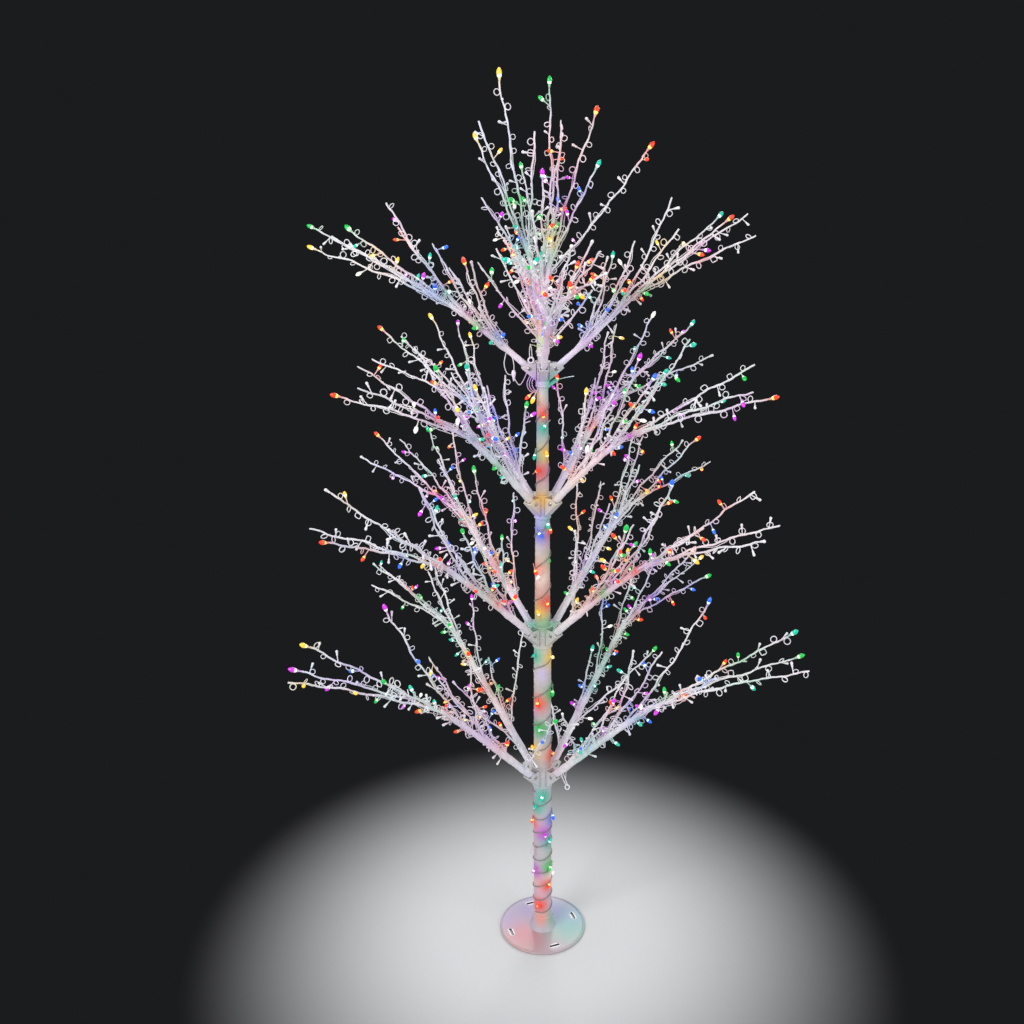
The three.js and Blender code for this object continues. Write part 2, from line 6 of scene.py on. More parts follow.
import bpy
import numpy as np
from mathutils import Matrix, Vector


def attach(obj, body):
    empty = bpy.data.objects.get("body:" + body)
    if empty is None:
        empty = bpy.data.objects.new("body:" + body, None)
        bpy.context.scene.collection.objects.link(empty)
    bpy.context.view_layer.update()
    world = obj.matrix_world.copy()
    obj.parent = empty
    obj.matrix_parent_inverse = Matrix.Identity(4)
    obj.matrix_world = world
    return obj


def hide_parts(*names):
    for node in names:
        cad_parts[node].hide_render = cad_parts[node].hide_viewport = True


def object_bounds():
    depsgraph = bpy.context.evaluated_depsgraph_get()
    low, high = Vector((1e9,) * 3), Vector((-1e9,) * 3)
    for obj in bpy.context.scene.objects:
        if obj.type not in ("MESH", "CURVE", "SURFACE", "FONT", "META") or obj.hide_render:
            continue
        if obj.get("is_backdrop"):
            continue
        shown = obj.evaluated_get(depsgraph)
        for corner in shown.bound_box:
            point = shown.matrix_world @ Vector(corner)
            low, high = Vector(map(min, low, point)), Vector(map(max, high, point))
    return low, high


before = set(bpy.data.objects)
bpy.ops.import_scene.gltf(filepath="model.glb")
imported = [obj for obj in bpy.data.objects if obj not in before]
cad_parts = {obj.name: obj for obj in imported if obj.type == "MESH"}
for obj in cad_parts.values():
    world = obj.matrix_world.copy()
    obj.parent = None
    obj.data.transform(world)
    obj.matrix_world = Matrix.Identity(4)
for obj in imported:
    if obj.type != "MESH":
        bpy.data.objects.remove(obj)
cad_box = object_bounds()
chance = random.Random(11)
MM = 0.001


def add_object(name, data):
    made = bpy.data.objects.new(name, data)
    bpy.context.scene.collection.objects.link(made)
    return made


# ---- Camera of the photograph, standing at an azimuth of the row frame ----
CAMERA_AZIMUTH = math.radians(-111)
CAMERA_DISTANCE = 2289
CAMERA_HEIGHT = 1928
CAMERA_PITCH = math.radians(18.1)
SENSOR_WIDTH = 36
FOCAL_PIXELS = 1022
FRAME_PIXELS = 1024
TRUNK_PIXEL = 542.5
CAMERA = np.array([
    CAMERA_DISTANCE * math.cos(CAMERA_AZIMUTH),
    CAMERA_DISTANCE * math.sin(CAMERA_AZIMUTH),
    CAMERA_HEIGHT,
])


def add_camera():
    camera = add_object("camera", bpy.data.cameras.new("camera"))
    camera.data.sensor_width = SENSOR_WIDTH
    camera.data.lens = SENSOR_WIDTH * FOCAL_PIXELS / FRAME_PIXELS
    camera.data.shift_x = (FRAME_PIXELS / 2 - TRUNK_PIXEL) / FRAME_PIXELS
    camera.location = CAMERA * MM
    camera.rotation_euler = (math.pi / 2 - CAMERA_PITCH, 0, CAMERA_AZIMUTH + math.pi / 2)
    bpy.context.scene.camera = camera


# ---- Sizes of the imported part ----
FIT = 0.3
PLATE_RADIUS, PLATE_THICKNESS, RIM_HEIGHT, RIM_WIDTH = 114, 5, 6.5, 4
SLOT_CIRCLE, SLOT_LENGTH, SLOT_WIDTH = 89, 28, 7
COLLAR_HEIGHT, COLLAR_FOOT, COLLAR_WALL = 40, 36, 2.5
POLE_WALL, PLUG_LENGTH = 1.5, 60
TRUNK_RADIUS, TRUNK_HEIGHT = 24, 1640
POLE_TAPERS = [(1, 0.875), (0.79, 0.69), (0.625, 0.52), (0.46, 0.4)]
HUB_BELOW, HUB_ABOVE, HUB_WALL, HUB_LIP, PIN_OUT = 42, 16, 3, 2, 14
CHEEK, CHEEK_ROUND, CHEEK_NOSE = 2.5, 12, 15
PIN_RADIUS, PIN_HEAD, PIN_HEAD_HEIGHT = 3, 5, 1.6
STEM_LENGTH, STEM_ROOT, STEM_TIP = 430, 10, 5
TWIG_ROOT, TWIG_TIP = 2.8, 1.7
SWAY, STRAIGHTENING = 2, 0.15
FOLD = math.radians(30)
# Tiers, with a reach of the outer twigs and, in some, a rise of the stem's end for each branch.
# Twigs: share along the stem, turn to the side, lift and length as a share of the stem's.
TIERS = [
    {
        "level": 0.2945, "turn": 27, "open": 47, "end": 45, "stem": 1, "girth": 1,
        "reach": [0.72, 0.7, 1, 1],
        "twigs": [
            (0.33, 9, 13, 0.53), (0.44, -13, 16, 0.74), (0.6, 12, 25, 0.67), (0.74, -11, 18, 0.86),
            (0.86, 18, -4, 0.86), (0.95, -18, -5, 0.88), (1, -32, -16, 0.77), (1, -14, -18, 0.88),
        ],
        "inner": [(0.12, 38, 26, 0.65), (0.27, -38, 20, 0.7)],
    },
    {
        "level": 0.534, "turn": 25, "open": 45, "end": 41, "stem": 0.838, "girth": 0.95,
        "reach": [0.84, 0.9, 1, 1],
        "twigs": [
            (0.31, -10, 12, 0.64), (0.44, 15, 12, 0.81), (0.61, -12, 22, 0.81), (0.78, 11, 17, 0.89),
            (0.86, -20, 2, 0.97), (0.94, 20, -4, 0.89), (1, -27, -15, 0.86), (1, 5, -16, 0.94),
        ],
        "inner": [(0.31, 20, 24, 0.71), (0.24, -16, 30, 0.72)],
    },
    {
        "level": 0.737, "turn": 26, "open": 47, "end": 42, "stem": 0.652, "girth": 0.9,
        "reach": [0.9, 0.88, 0.9, 1], "rise": [0, 0, 0, -3],
        "twigs": [
            (0.32, 7, 11, 0.86), (0.46, -15, 13, 0.93), (0.64, 11, 18, 1), (0.79, -9, 17, 1.11),
            (0.89, 23, 4, 1.11), (0.96, -18, -4, 1.18), (1, -30, -18, 1.11), (1, -3, -14, 1.18),
        ],
        "inner": [(0.25, 22, 30, 0.78), (0.27, -8, 28, 0.82)],
    },
    {
        "level": 0.9275, "turn": -17, "open": 41, "end": 38, "stem": 0.535, "girth": 0.8,
        "reach": [0.92, 0.9, 0.98, 0.9], "rise": [7, 0, 0, 0],
        "twigs": [
            (0.35, -10, 16, 0.91), (0.52, 12, 21, 1.04), (0.7, -16, 12, 1.17), (0.83, 10, 19, 1.26),
            (0.91, -20, -3, 1.3), (0.98, 17, -6, 1.3), (1, -14, -17, 1.39), (1, -4, -9, 1.43),
        ],
        "inner": [(0.34, 12, 30, 0.82), (0.39, 18, 28, 0.83)],
    },
]
for tier in TIERS:
    tier["height"] = tier["level"] * TRUNK_HEIGHT
    tier["length"] = tier["stem"] * STEM_LENGTH
    tier["root"], tier["tip"] = tier["girth"] * STEM_ROOT, tier["girth"] * STEM_TIP
# Leaders: azimuth, lean at both ends and share of the longest one's length.
LEADER_LENGTH, LEADER_ROOT, LEADER_TIP = 165, 7, 4.5
LEADERS = [(161, (8, 20), 1), (-16, (5, 13), 0.94), (64, (3, 7), 0.73)]
# Crown twigs: leader, share along it, azimuth, lean at both ends and share of the length.
CROWN_TWIG_LENGTH = 330
CROWN_TWIGS = [
    (0, 1, 144, (8, 10), 0.98), (0, 0.91, 174, (20, 23), 0.83), (0, 0.76, 139, (26, 27), 0.8),
    (0, 0.55, 184, (40, 34), 0.61), (0, 0.88, -51, (6, 4), 0.73), (1, 0.97, 89, (7, 2), 0.97),
    (1, 1, -81, (9, 4), 0.76), (1, 0.97, -13, (17, 20), 0.83), (1, 0.77, -46, (30, 28), 0.64),
    (1, 0.58, -15, (46, 34), 1), (2, 1, 39, (16, 20), 0.79), (2, 0.75, 99, (24, 22), 0.7),
    (2, 0.5, -111, (18, 24), 0.73),
]
# Side twigs: share of the band's height, azimuth, lean at both ends and share of the length.
BAND_ENDS, BAND_WALL = (0.11, 0.76), 2
SIDE_TWIG_LENGTH = 226
SIDE_TWIGS = [(0.61, -169, (46, 36), 1), (0.93, 119, (40, 34), 0.92), (0.3, -63, (48, 40), 0.83)]
WINDING_GAP, WINDING_RADIUS, WINDING_END = 0.5, 1.2, 12
WINDING_TURNS, WINDING_START = [9, 4, 3, 3], [200, 40, 310, 120]

# ---- Lamps ----
# Lens colour, hot centre colour and share of the lit lamps.
COLOURS = {
    "red": ((1.0, 0.06, 0.02), (1.0, 0.62, 0.12), 24),
    "amber": ((1.0, 0.62, 0.06), (1.0, 0.93, 0.5), 11),
    "green": ((0.01, 0.5, 0.08), (0.55, 1.0, 0.5), 16),
    "teal": ((0.01, 0.5, 0.34), (0.7, 1.0, 0.95), 14),
    "blue": ((0.03, 0.15, 0.85), (0.6, 0.82, 1.0), 14),
    "violet": ((0.6, 0.04, 0.68), (1.0, 0.72, 1.0), 17),
    "white": ((1.0, 0.95, 0.84), (1.0, 1.0, 0.95), 4),
}
LETTERS = {"r": "red", "y": "amber", "g": "green", "t": "teal", "b": "blue", "m": "violet", "w": "white"}
# Tip of each twig: a letter of LETTERS, "-" for a bare or dark tip, "." for either.
TIPS = {
    "1_1": ".-...rgy..", "1_2": "...-.--...", "1_3": ".-..gym...", "1_4": ".-.b.tg...",
    "2_1": ".-.-r.....", "2_2": ".g-.r.....", "2_3": "b..-..-...", "2_4": ".g..---...",
    "3_1": "....-t....", "3_2": ".....r--..", "3_3": "..t....-..", "3_4": ".....-....",
    "4_1": "-..-r.-...", "4_2": "..........", "4_3": ".---g-y...", "4_4": ".-........",
    "crown": "y-y--g-rtr...", "side": "-.-",
}
# Lamps on the trunk: height, azimuth and colour.
TRUNK_LAMPS = [
    (418, -114, "t"), (383, -159, "t"), (332, 156, "r"), (345, -21, "b"), (303, -96, "m"),
    (282, -66, "t"), (187, -168, "m"), (199, -63, "g"), (169, -24, "w"), (147, -72, "r"),
    (83, -135, "r"), (709, -33, "g"), (686, -141, "r"), (613, -131, "g"), (550, 171, "y"),
    (534, -27, "r"), (1414, -105, "r"), (1390, -96, "t"), (1316, 156, "t"), (1322, -76, "y"),
    (1284, -156, "r"), (1132, -130, "b"), (1138, -48, "r"), (116, 70, "b"), (158, 120, "y"),
    (1154, -73, "t"), (1035, -161, "r"), (1024, -136, "w"), (953, -78, "r"), (928, -136, "y"),
    (812, -172, "t"), (808, -41, "y"),
    (235, 30, "g"), (262, 96, "r"), (364, 60, "y"), (404, 110, "m"), (590, 65, "b"),
    (640, 110, "m"), (700, 80, "t"), (775, 40, "y"), (1000, 75, "r"), (1055, 30, "g"),
    (1290, 60, "m"), (1400, 90, "b"),
]
# How far their lens stands off the trunk and is from the lamp's foot, and the power of their light.
TRUNK_LENS_OUT, TRUNK_LENS_REACH, TRUNK_GLOW = 4.2, 20, 2.2
# Free runs of the light string's wire: whose string, corner points and radius.
LOOSE_RUNS = [
    ("1_4", [(27, -53, 505), (33, -58, 483), (41, -62, 465)], 1.2),
    ("1_4", [(32, -55, 508), (38, -60, 486), (44, -63, 465)], 1.2),
    ("1_4", [(42, -63, 522), (40, -62, 505), (39, -61, 484)], 0.7),
    ("4_3", [(-79, 22, 1556), (-85, 18, 1533), (-79, 17, 1512), (-68, 15, 1507)], 0.9),
    ("4_3", [(-66, 17, 1548), (-64, 12, 1530), (-64, 13, 1512)], 0.9),
    ("4_3", [(-64, 14, 1503), (-57, 11, 1489), (-51, 11, 1484), (-43, 10, 1493), (-33, 11, 1512)], 0.9),
    ("crown", [(-32, -3, 1545), (-32, -3, 1566), (-28, -2, 1575), (-10, 0, 1569)], 0.9),
    ("crown", [(-26, -4, 1545), (-28, -4, 1566), (-30, -1, 1577)], 0.9),
    ("crown", [(-24, 4, 1513), (-38, -2, 1490), (-32, -5, 1472), (-10, -3, 1464)], 0.9),
    ("crown", [(-21, 1, 1511), (-34, -6, 1490), (-29, -8, 1475), (-10, -4, 1466)], 0.9),
    ("crown", [(-16, -3, 1509), (-29, -10, 1493), (-25, -12, 1477), (-10, -5, 1468)], 0.9),
    ("crown", [(30, -7, 1493), (47, -14, 1498), (68, -22, 1502)], 1.0),
]
# Wire rings that end such runs: whose string, top, radius and wire.
END_RINGS = [("1_4", (43, -63, 467), 5.5, 1.4), ("crown", (-29, -3, 1547), 6, 1.9)]
# Lamplight at them, on the hubs and at the foot: place, colour and power.
LOOSE_LIGHT = [
    ((24, -5, 1488), (0.03, 0.68, 0.46), 3), ((-30, -4, 1490), (0.6, 0.3, 0.9), 2.5),
    ((-10, -4, 1578), (0.45, 0.7, 0.15), 1.2), ((-9, -3, 1616), (1, 0.4, 0.3), 1),
    ((-13, -21, 1212), (1, 0.55, 0.05), 3), ((-22, -11, 1182), (0.5, 0.4, 0.95), 2.5),
    ((-9, -14, 1161), (0.45, 0.4, 0.95), 1.5), ((-27, 10, 886), (0.02, 0.6, 0.45), 2.5),
    ((-8, -25, 906), (0.15, 0.6, 0.3), 2), ((27, -10, 891), (0.1, 0.6, 0.35), 2),
    ((-21, 4, 863), (0.95, 0.5, 0.4), 1.5), ((-7, -20, 767), (0.6, 0.5, 0.9), 1.2),
    ((-14, -28, 41), (1, 0.35, 0.25), 1.5), ((21, -24, 36), (0.2, 0.65, 0.35), 1),
]
# Lamps at such ends: whose string, foot, direction and colour.
LOOSE_LAMPS = [
    ("crown", (-19, -6, 1474), (-11, 0, -9), "red"), ("crown", (-16, -8, 1474), (-7, -3, -12), "amber"),
    ("winding_1", (-29, -14, 275), (-12, 1, -30), None),
]
# Along a twig, for loops and for lamps: where the first is, how far before the end the last is, the
# step between them, the tries to find room for each and the spread of their directions.
LOOP_START, LOOP_END, LOOP_STEP, LOOP_TRIES, LOOP_SPREAD = (2, 14), 9, (24, 34), 5, 0.55
LAMP_START, LAMP_END, LAMP_STEP, LAMP_TRIES, LAMP_SPREAD = (8, 30), 14, (46, 62), 6, 0.9
LOOP_REACH, LOOP_SIZE, LOOP_SLOPE, SAME_SIDE_SHARE = 6.5, (0.8, 1.06), 0.35, 0.3
LAMP_SIZE, LENS_SWELL, LIT_SHARE, STRAY_SHARE = (0.88, 1.1), (1.1, 1.35), 0.44, 0.2
# Tips left open in TIPS: share that bears a lamp, share that bears a lit one and their size.
TIP_SHARE, LIT_TIP_SHARE, TIP_SIZE, KNOWN_TIP_SIZE = 0.7, 0.38, 1.15, 1.3
# Wire that stands off a twig: length and reach of the run at its root and of one further on.
ROOT_SLACK, FREE_SLACK, FREE_SLACK_START = [(90, 130), (5.5, 8.5)], [(45, 80), (3.5, 5.5)], (110, 150)
SLACK_TRIES, SLACK_SPREAD, LEAST_SLACK = 4, 0.35, 30
WIRE, WIRE_SIDES, TAUT_WIRE = 0.75, 5, 0.7


# ---- Shapes ----
class Form:
    """Points and faces gathered for one mesh."""

    def __init__(self, *parts):
        self.points, self.faces, self.count = [], [], 0
        for part in parts:
            self.add(part)

    def add(self, part, basis=None, origin=0, scale=1.0):
        points, *faces = part
        points = points * scale
        self.points.append((points if basis is None else points @ basis) + origin)
        self.faces += [each + self.count for each in faces]
        self.count += len(points)


def unit(vectors):
    return vectors / np.linalg.norm(vectors, axis=-1, keepdims=True)


def lean(azimuth, tilt):
    """The direction at an azimuth that tilts away from upright, both in degrees."""
    a, t = math.radians(azimuth), math.radians(tilt)
    return np.array([math.sin(t) * math.cos(a), math.sin(t) * math.sin(a), math.cos(t)])


def beside(axis):
    """Some direction square to an axis."""
    other = (0, 0, 1) if abs(axis[2]) < 0.9 else (1, 0, 0)
    return unit(np.cross(axis, other))


def rotated(vector, axis, angle):
    c, s = math.cos(angle), math.sin(angle)
    return vector * c + np.cross(axis, vector) * s + axis * np.dot(axis, vector) * (1 - c)


def arc_lengths(line):
    return np.concatenate([[0], np.cumsum(np.linalg.norm(np.diff(line, axis=0), axis=1))])


def read_at(where, along, rows):
    """Rows that are known at some lengths, read at others."""
    return np.stack([np.interp(where, along, column) for column in rows.T], 1)


def evenly(line, step):
    along = arc_lengths(line)
    count = max(2, round(along[-1] / step)) + 1
    return read_at(np.linspace(0, along[-1], count), along, line)


def curve(corners, step):
    """A smooth line through corners, with points at an even step."""
    p = np.array(corners, float)
    p = np.vstack([2 * p[0] - p[1], p, 2 * p[-1] - p[-2]])
    t = np.linspace(0, 1, 12, endpoint=False)[:, None]
    pieces = []
    for a, b, c, d in zip(p, p[1:], p[2:], p[3:]):
        square, cube = 2 * a - 5 * b + 4 * c - d, 3 * b - a - 3 * c + d
        pieces.append(0.5 * (2 * b + (c - a) * t + square * t**2 + cube * t**3))
    pieces.append(p[-2:-1])
    return evenly(np.concatenate(pieces), step)


def frames(line):
    """Tangent, side and up of each point, which turn as little as the line allows."""
    tangents = unit(np.gradient(line, axis=0))
    sides = [beside(tangents[0])]
    for tangent in tangents[1:]:
        sides.append(unit(sides[-1] - tangent * np.dot(sides[-1], tangent)))
    return tangents, np.array(sides), np.cross(tangents, sides)


def skin(rings, tips=None, flip=False):
    """Faces over rings of points, from one tip to the other, or closed end to end without tips."""
    rows, count = rings.shape[:2]
    index = np.arange(rows * count).reshape(rows, count)
    turned, ahead = np.roll(index, -1, 1), np.roll(index, -1, 0)
    quads = np.stack([index, turned, np.roll(turned, -1, 0), ahead], -1)
    points = rings.reshape(-1, 3)
    if tips is None:
        faces = [quads.reshape(-1, 4)]
    else:
        points = np.concatenate([points, tips])
        low, high = (np.full(count, rows * count + tip) for tip in (0, 1))
        start = np.stack([low, turned[0], index[0]], 1)
        end = np.stack([index[-1], turned[-1], high], 1)
        faces = [quads[:-1].reshape(-1, 4), np.concatenate([start, end])]
    if flip:
        faces = [np.roll(each[:, ::-1], 1, 1) for each in faces]
    return points, *faces


def sweep(line, radii, count, ridge=0.0, pitch=16.0, lobes=0, lobe_depth=0.0, twist=0.0):
    """A closed round bar along a line. ridge: height of the tape's edge, which winds with a pitch."""
    _, sides, ups = frames(line)
    along = arc_lengths(line)[:, None]
    angles = np.arange(count) * math.tau / count
    radius = np.asarray(radii, float).reshape(-1, 1) + np.zeros((len(line), count))
    wave = np.abs(np.cos(lobes * (angles + twist * along) / 2))
    radius *= 1 - lobe_depth * (1 - wave)
    radius += ridge * ((along / pitch + angles / math.tau) % 1.0)
    out = sides[:, None] * np.cos(angles)[:, None] + ups[:, None] * np.sin(angles)[:, None]
    return skin(line[:, None] + out * radius[..., None], line[[0, -1]])


def lathe(profile, count, closed=False):
    """Turns a profile of (radius, height) round Z, from bottom to top on its outside."""
    profile = np.array(profile, float)
    radii, heights = (profile if closed else profile[1:-1]).T[:, :, None]
    angles = np.arange(count) * math.tau / count
    rings = np.stack([radii * np.cos(angles), radii * np.sin(angles), heights + 0 * angles], -1)
    return skin(rings, None if closed else [(0, 0, profile[end, 1]) for end in (0, -1)])


def slab(outline, thickness, y, chamfer=0.5):
    """An outline of (x, z) as an upright plate with eased edges, centred on y."""
    flat = np.array(outline, float)
    middle = flat.mean(0)
    inner = flat + unit(middle - flat) * chamfer
    half = thickness / 2
    levels = [(inner, -half), (flat, chamfer - half), (flat, half - chamfer), (inner, half)]
    rings = np.array([np.insert(ring, 1, y + level, 1) for ring, level in levels])
    return skin(rings, [np.insert(middle, 1, y + level) for level in (-half, half)], flip=True)


def wire_loop(radius, wire, power=2.0, turns=1, stretch=1.0, steps=18, sides=5):
    """A loop of wire in the XY plane that touches the origin and reaches out along Y."""
    share = np.arange(steps * turns) / (steps * turns)
    a = math.tau * turns * share - math.pi / 2
    c, s = np.cos(a), np.sin(a)
    x = np.sign(c) * np.abs(c) ** (2 / power) * radius
    y = (np.sign(s) * np.abs(s) ** (2 / power) + 1) * radius * stretch
    z = (share - 0.5) * (turns - 1) * 2.4 * wire
    phi = np.arange(sides)[:, None] * math.tau / sides
    out = np.stack([c, s, 0 * c], 1)[:, None] * np.cos(phi) + np.array([0, 0, 1]) * np.sin(phi)
    return skin(np.stack([x, y, z], 1)[:, None] + out * wire, flip=True)


# Loops of the light string and how often each is drawn.
LOOPS = [
    wire_loop(6.4, 0.95),
    wire_loop(5.8, 0.95, stretch=1.18),
    wire_loop(6.0, 0.95, power=3.6),
    wire_loop(5.7, 0.85, turns=2, steps=14),
]
LOOP_SHARES = [60, 18, 13, 9]
# Lamps, along Z from the foot of the stem. They need the room of two balls and take a little less.
LAMP_NECK, LENS_MIDDLE = 17.0, 22
LAMP_ROOM, LAMP_ROOM_RADII = (12, 25), (2.5, 6)
LAMP_BALLS, LAMP_BALL_RADII = (12, 24), (2, 4.5)
STEM_PART = lathe([
    (0, 0), (1.05, 0), (1.0, 6), (1.05, 11.5), (1.75, 13), (2.0, 14.5), (2.1, LAMP_NECK),
    (0, LAMP_NECK + 0.2),
], 8)
HEART_PART = lathe([(0, 16.8), (2.15, 17), (2.7, 18.6), (3.0, 20.2), (0, 20.4)], 10)
LENS_PART = lathe([
    (0, 20), (3.05, 20.1), (3.45, 21.8), (3.2, 23.8), (2.5, 25.6), (1.6, 27), (0.7, 27.9), (0, 28.1),
], 10)
DARK_LENS_PART = lathe([
    (0, 16.8), (2.0, 17), (2.5, 19.2), (2.9, 21.2), (2.8, 22.6), (2.0, 23.8), (0.9, 24.3), (0, 24.4),
], 8)

# Forms by the key of a string, and those of lit lamps by their body and colour.
tapes, strings, lamp_stems, lenses, hearts = (defaultdict(Form) for _ in range(5))
glows = []  # (place, colour, strength) of lamplight


def body_of(key):
    return f"branch_{key}" if key[0].isdigit() else "trunk"


# ---- Room for loops and lamps beside the other bodies, with branches open and folded ----
CELL = 20
hinges = {}  # body of a branch: its hinge's place and the branch's basis
taken = defaultdict(list)  # cell: balls in it, as centre, radius and body
runs = []  # stretches of the light string: arguments of add_string and whether it is on a twig


def poses(body, points):
    """Points of a body with its branch open and folded up. The trunk's only stay."""
    points = np.asarray(points, float)
    if body not in hinges:
        return [points.tolist()]
    seat, basis = hinges[body]
    x, y, z = ((points - seat) @ basis.T).T
    c, s = math.cos(FOLD), math.sin(FOLD)
    folded = np.stack([x * c - z * s, y, x * s + z * c], 1) @ basis + seat
    return [points.tolist(), folded.tolist()]


def fill(body, points, radii):
    """Takes the room of some balls of a body."""
    for places in poses(body, points):
        for (x, y, z), radius in zip(places, np.broadcast_to(radii, len(points)).tolist()):
            taken[x // CELL, y // CELL, z // CELL].append((x, y, z, radius, body))


def has_room(body, points, radii):
    """Whether balls on a body stay clear of all other bodies."""
    for places in poses(body, points):
        for (x, y, z), reach in zip(places, radii):
            i, j, k = x // CELL, y // CELL, z // CELL
            for cell in ((i + a, j + b, k + c) for a in (-1, 0, 1) for b in (-1, 0, 1) for c in (-1, 0, 1)):
                for u, v, w, radius, owner in taken.get(cell, ()):
                    if owner != body and (x - u)**2 + (y - v)**2 + (z - w)**2 < (reach + radius)**2:
                        return False
    return True


def along_axis(axis, turn):
    """Basis rows whose third is an axis."""
    side = rotated(beside(axis), axis, turn)
    return np.array([side, np.cross(axis, side), axis])


def pick_colour():
    return chance.choices(list(COLOURS), [c[2] for c in COLOURS.values()])[0]


def add_lamp(key, body, place, way, colour, size=1.0):
    """A lamp on its stem. colour is a name of COLOURS, or None for a dark one."""
    way = unit(way)
    basis = along_axis(way, chance.uniform(0, math.tau))
    stems = (lamp_stems if key.startswith("winding") else strings)[key]
    stems.add(STEM_PART, basis, place, size)
    fill(body, [place + way * reach * size for reach in LAMP_BALLS], LAMP_BALL_RADII)
    if colour is None:
        stems.add(DARK_LENS_PART, basis, place, size)
        return
    swell = size * chance.uniform(*LENS_SWELL)
    foot = place - way * LAMP_NECK * (swell - size)
    lenses[body, colour].add(LENS_PART, basis, foot, swell)
    hearts[body, colour].add(HEART_PART, basis, foot, swell)
    glows.append((place + way * LENS_MIDDLE * size, COLOURS[colour][0], 1.0))


def sideways(tangent, place, spread):
    """A direction square to a twig, mostly to one of its sides as seen in the photograph."""
    side = unit(np.cross(tangent, unit(CAMERA - place)))
    if chance.random() < STRAY_SHARE:
        return rotated(side, tangent, chance.uniform(0, math.tau))
    return rotated(side, tangent, chance.gauss(0, spread)) * chance.choice([-1, 1])


def add_slack_wire(key, body, line, start, length, reach):
    """A run of the light string that stands off its twig between two ties, where there is room."""
    tangents, _, _ = frames(line)
    along = arc_lengths(line)
    length = min(length, along[-1] - start - 10)
    if length < LEAST_SLACK:
        return
    inside = (along >= start) & (along <= start + length)
    run, share = line[inside], (along[inside] - start) / length
    for _ in range(SLACK_TRIES):
        outward = sideways(tangents[inside][len(run) // 2], run.mean(0), SLACK_SPREAD)
        slack = run + outward * (reach * np.sin(math.pi * share) ** 0.7)[:, None]
        if has_room(body, slack[::2], [1.5] * len(slack[::2])):
            strings[key].add(sweep(slack, WIRE, WIRE_SIDES))
            fill(body, slack[::2], 1)
            return


def add_loops(key, body, at, length, end):
    """Loops along a stretch of a twig. Gives the length and direction of each."""
    marks, sign = [], chance.choice([-1, 1])
    length += chance.uniform(*LOOP_START)
    while length < end:
        place, tangent, radius = at(length)
        for _ in range(LOOP_TRIES):
            outward = sideways(tangent, place, LOOP_SPREAD)
            if marks and np.dot(outward, marks[-1][1]) * sign > 0:
                outward = -outward
            middle = [place + outward * (radius + LOOP_REACH)]
            if not has_room(body, middle, [LOOP_REACH + 0.5]):
                sign = -sign
                continue
            fill(body, middle, LOOP_REACH)
            sign = -1 if chance.random() < SAME_SIDE_SHARE else 1
            marks.append((length, outward))
            slope = rotated(tangent, outward, chance.gauss(0, LOOP_SLOPE))
            basis = np.array([slope, outward, np.cross(slope, outward)])
            loop = chance.choices(LOOPS, LOOP_SHARES)[0]
            strings[key].add(loop, basis, place + outward * (radius + 0.3), chance.uniform(*LOOP_SIZE))
            break
        length += chance.uniform(*LOOP_STEP)
    return marks


def add_twig_lamps(key, body, at, length, end):
    """Lamps along a stretch of a twig. After one without room the next comes sooner."""
    length += chance.uniform(*LAMP_START)
    while length < end:
        place, tangent, radius = at(length)
        stride = 0.5
        for _ in range(LAMP_TRIES):
            outward = sideways(tangent, place, LAMP_SPREAD)
            way = unit(outward + tangent * chance.uniform(-0.15, 1.0))
            if has_room(body, [place + way * reach for reach in LAMP_ROOM], LAMP_ROOM_RADII):
                colour = pick_colour() if chance.random() < LIT_SHARE else None
                foot = place + outward * radius * 0.6
                add_lamp(key, body, foot, way, colour, chance.uniform(*LAMP_SIZE))
                stride = 1
                break
        length += chance.uniform(*LAMP_STEP) * stride


def add_wire(key, line, radii, start, marks):
    """The wire along a twig from a length start on, on the side of its loops."""
    along = arc_lengths(line)
    wire = evenly(line[np.searchsorted(along, start):], 5)
    wire_along = start + arc_lengths(wire)
    outward = read_at(wire_along, np.array([m[0] for m in marks]), np.array([m[1] for m in marks]))
    tangents, _, _ = frames(wire)
    outward -= tangents * (outward * tangents).sum(1)[:, None]
    outward = unit(outward + 1e-3 * np.cross(tangents, (0.3, 0.5, 0.8)))
    lift = np.interp(wire_along, along, radii)[:, None] + TAUT_WIRE / 2
    strings[key].add(sweep(wire + outward * lift, TAUT_WIRE, WIRE_SIDES))


def add_string(key, body, line, radii, start, tip):
    """The light string along a twig from a length start on: its loops, lamps, wire and tip."""
    tangents, _, _ = frames(line)
    along = arc_lengths(line)

    def at(length):
        i = min(int(np.searchsorted(along, length)), len(line) - 1)
        return line[i], tangents[i], radii[i]

    marks = add_loops(key, body, at, start, along[-1] - LOOP_END)
    add_twig_lamps(key, body, at, start, along[-1] - LAMP_END)
    if len(marks) > 1:
        add_wire(key, line, radii, start, marks)

    end, tangent, _ = at(along[-1])
    if tip in LETTERS:
        add_lamp(key, body, end - tangent * 14, tangent, LETTERS[tip], KNOWN_TIP_SIZE)
    elif tip == ".":
        draw = chance.random()
        if draw < TIP_SHARE and has_room(body, [end + tangent * 12], [5.5]):
            colour = pick_colour() if draw < LIT_TIP_SHARE else None
            add_lamp(key, body, end - tangent * 13, tangent, colour, TIP_SIZE)


# ---- Trunk ----
joint_heights = [tier["height"] + HUB_ABOVE for tier in TIERS[1:]]
poles = []
for number, (bottom, top) in enumerate(POLE_TAPERS):
    low = (PLATE_THICKNESS if number == 0 else joint_heights[number - 1]) + FIT
    high = joint_heights[number] if number < 3 else TRUNK_HEIGHT
    poles.append((bottom * TRUNK_RADIUS, top * TRUNK_RADIUS, low, high))


def pole_radius(pole, height):
    bottom, top, low, high = pole
    return bottom + (top - bottom) * (height - low) / (high - low)


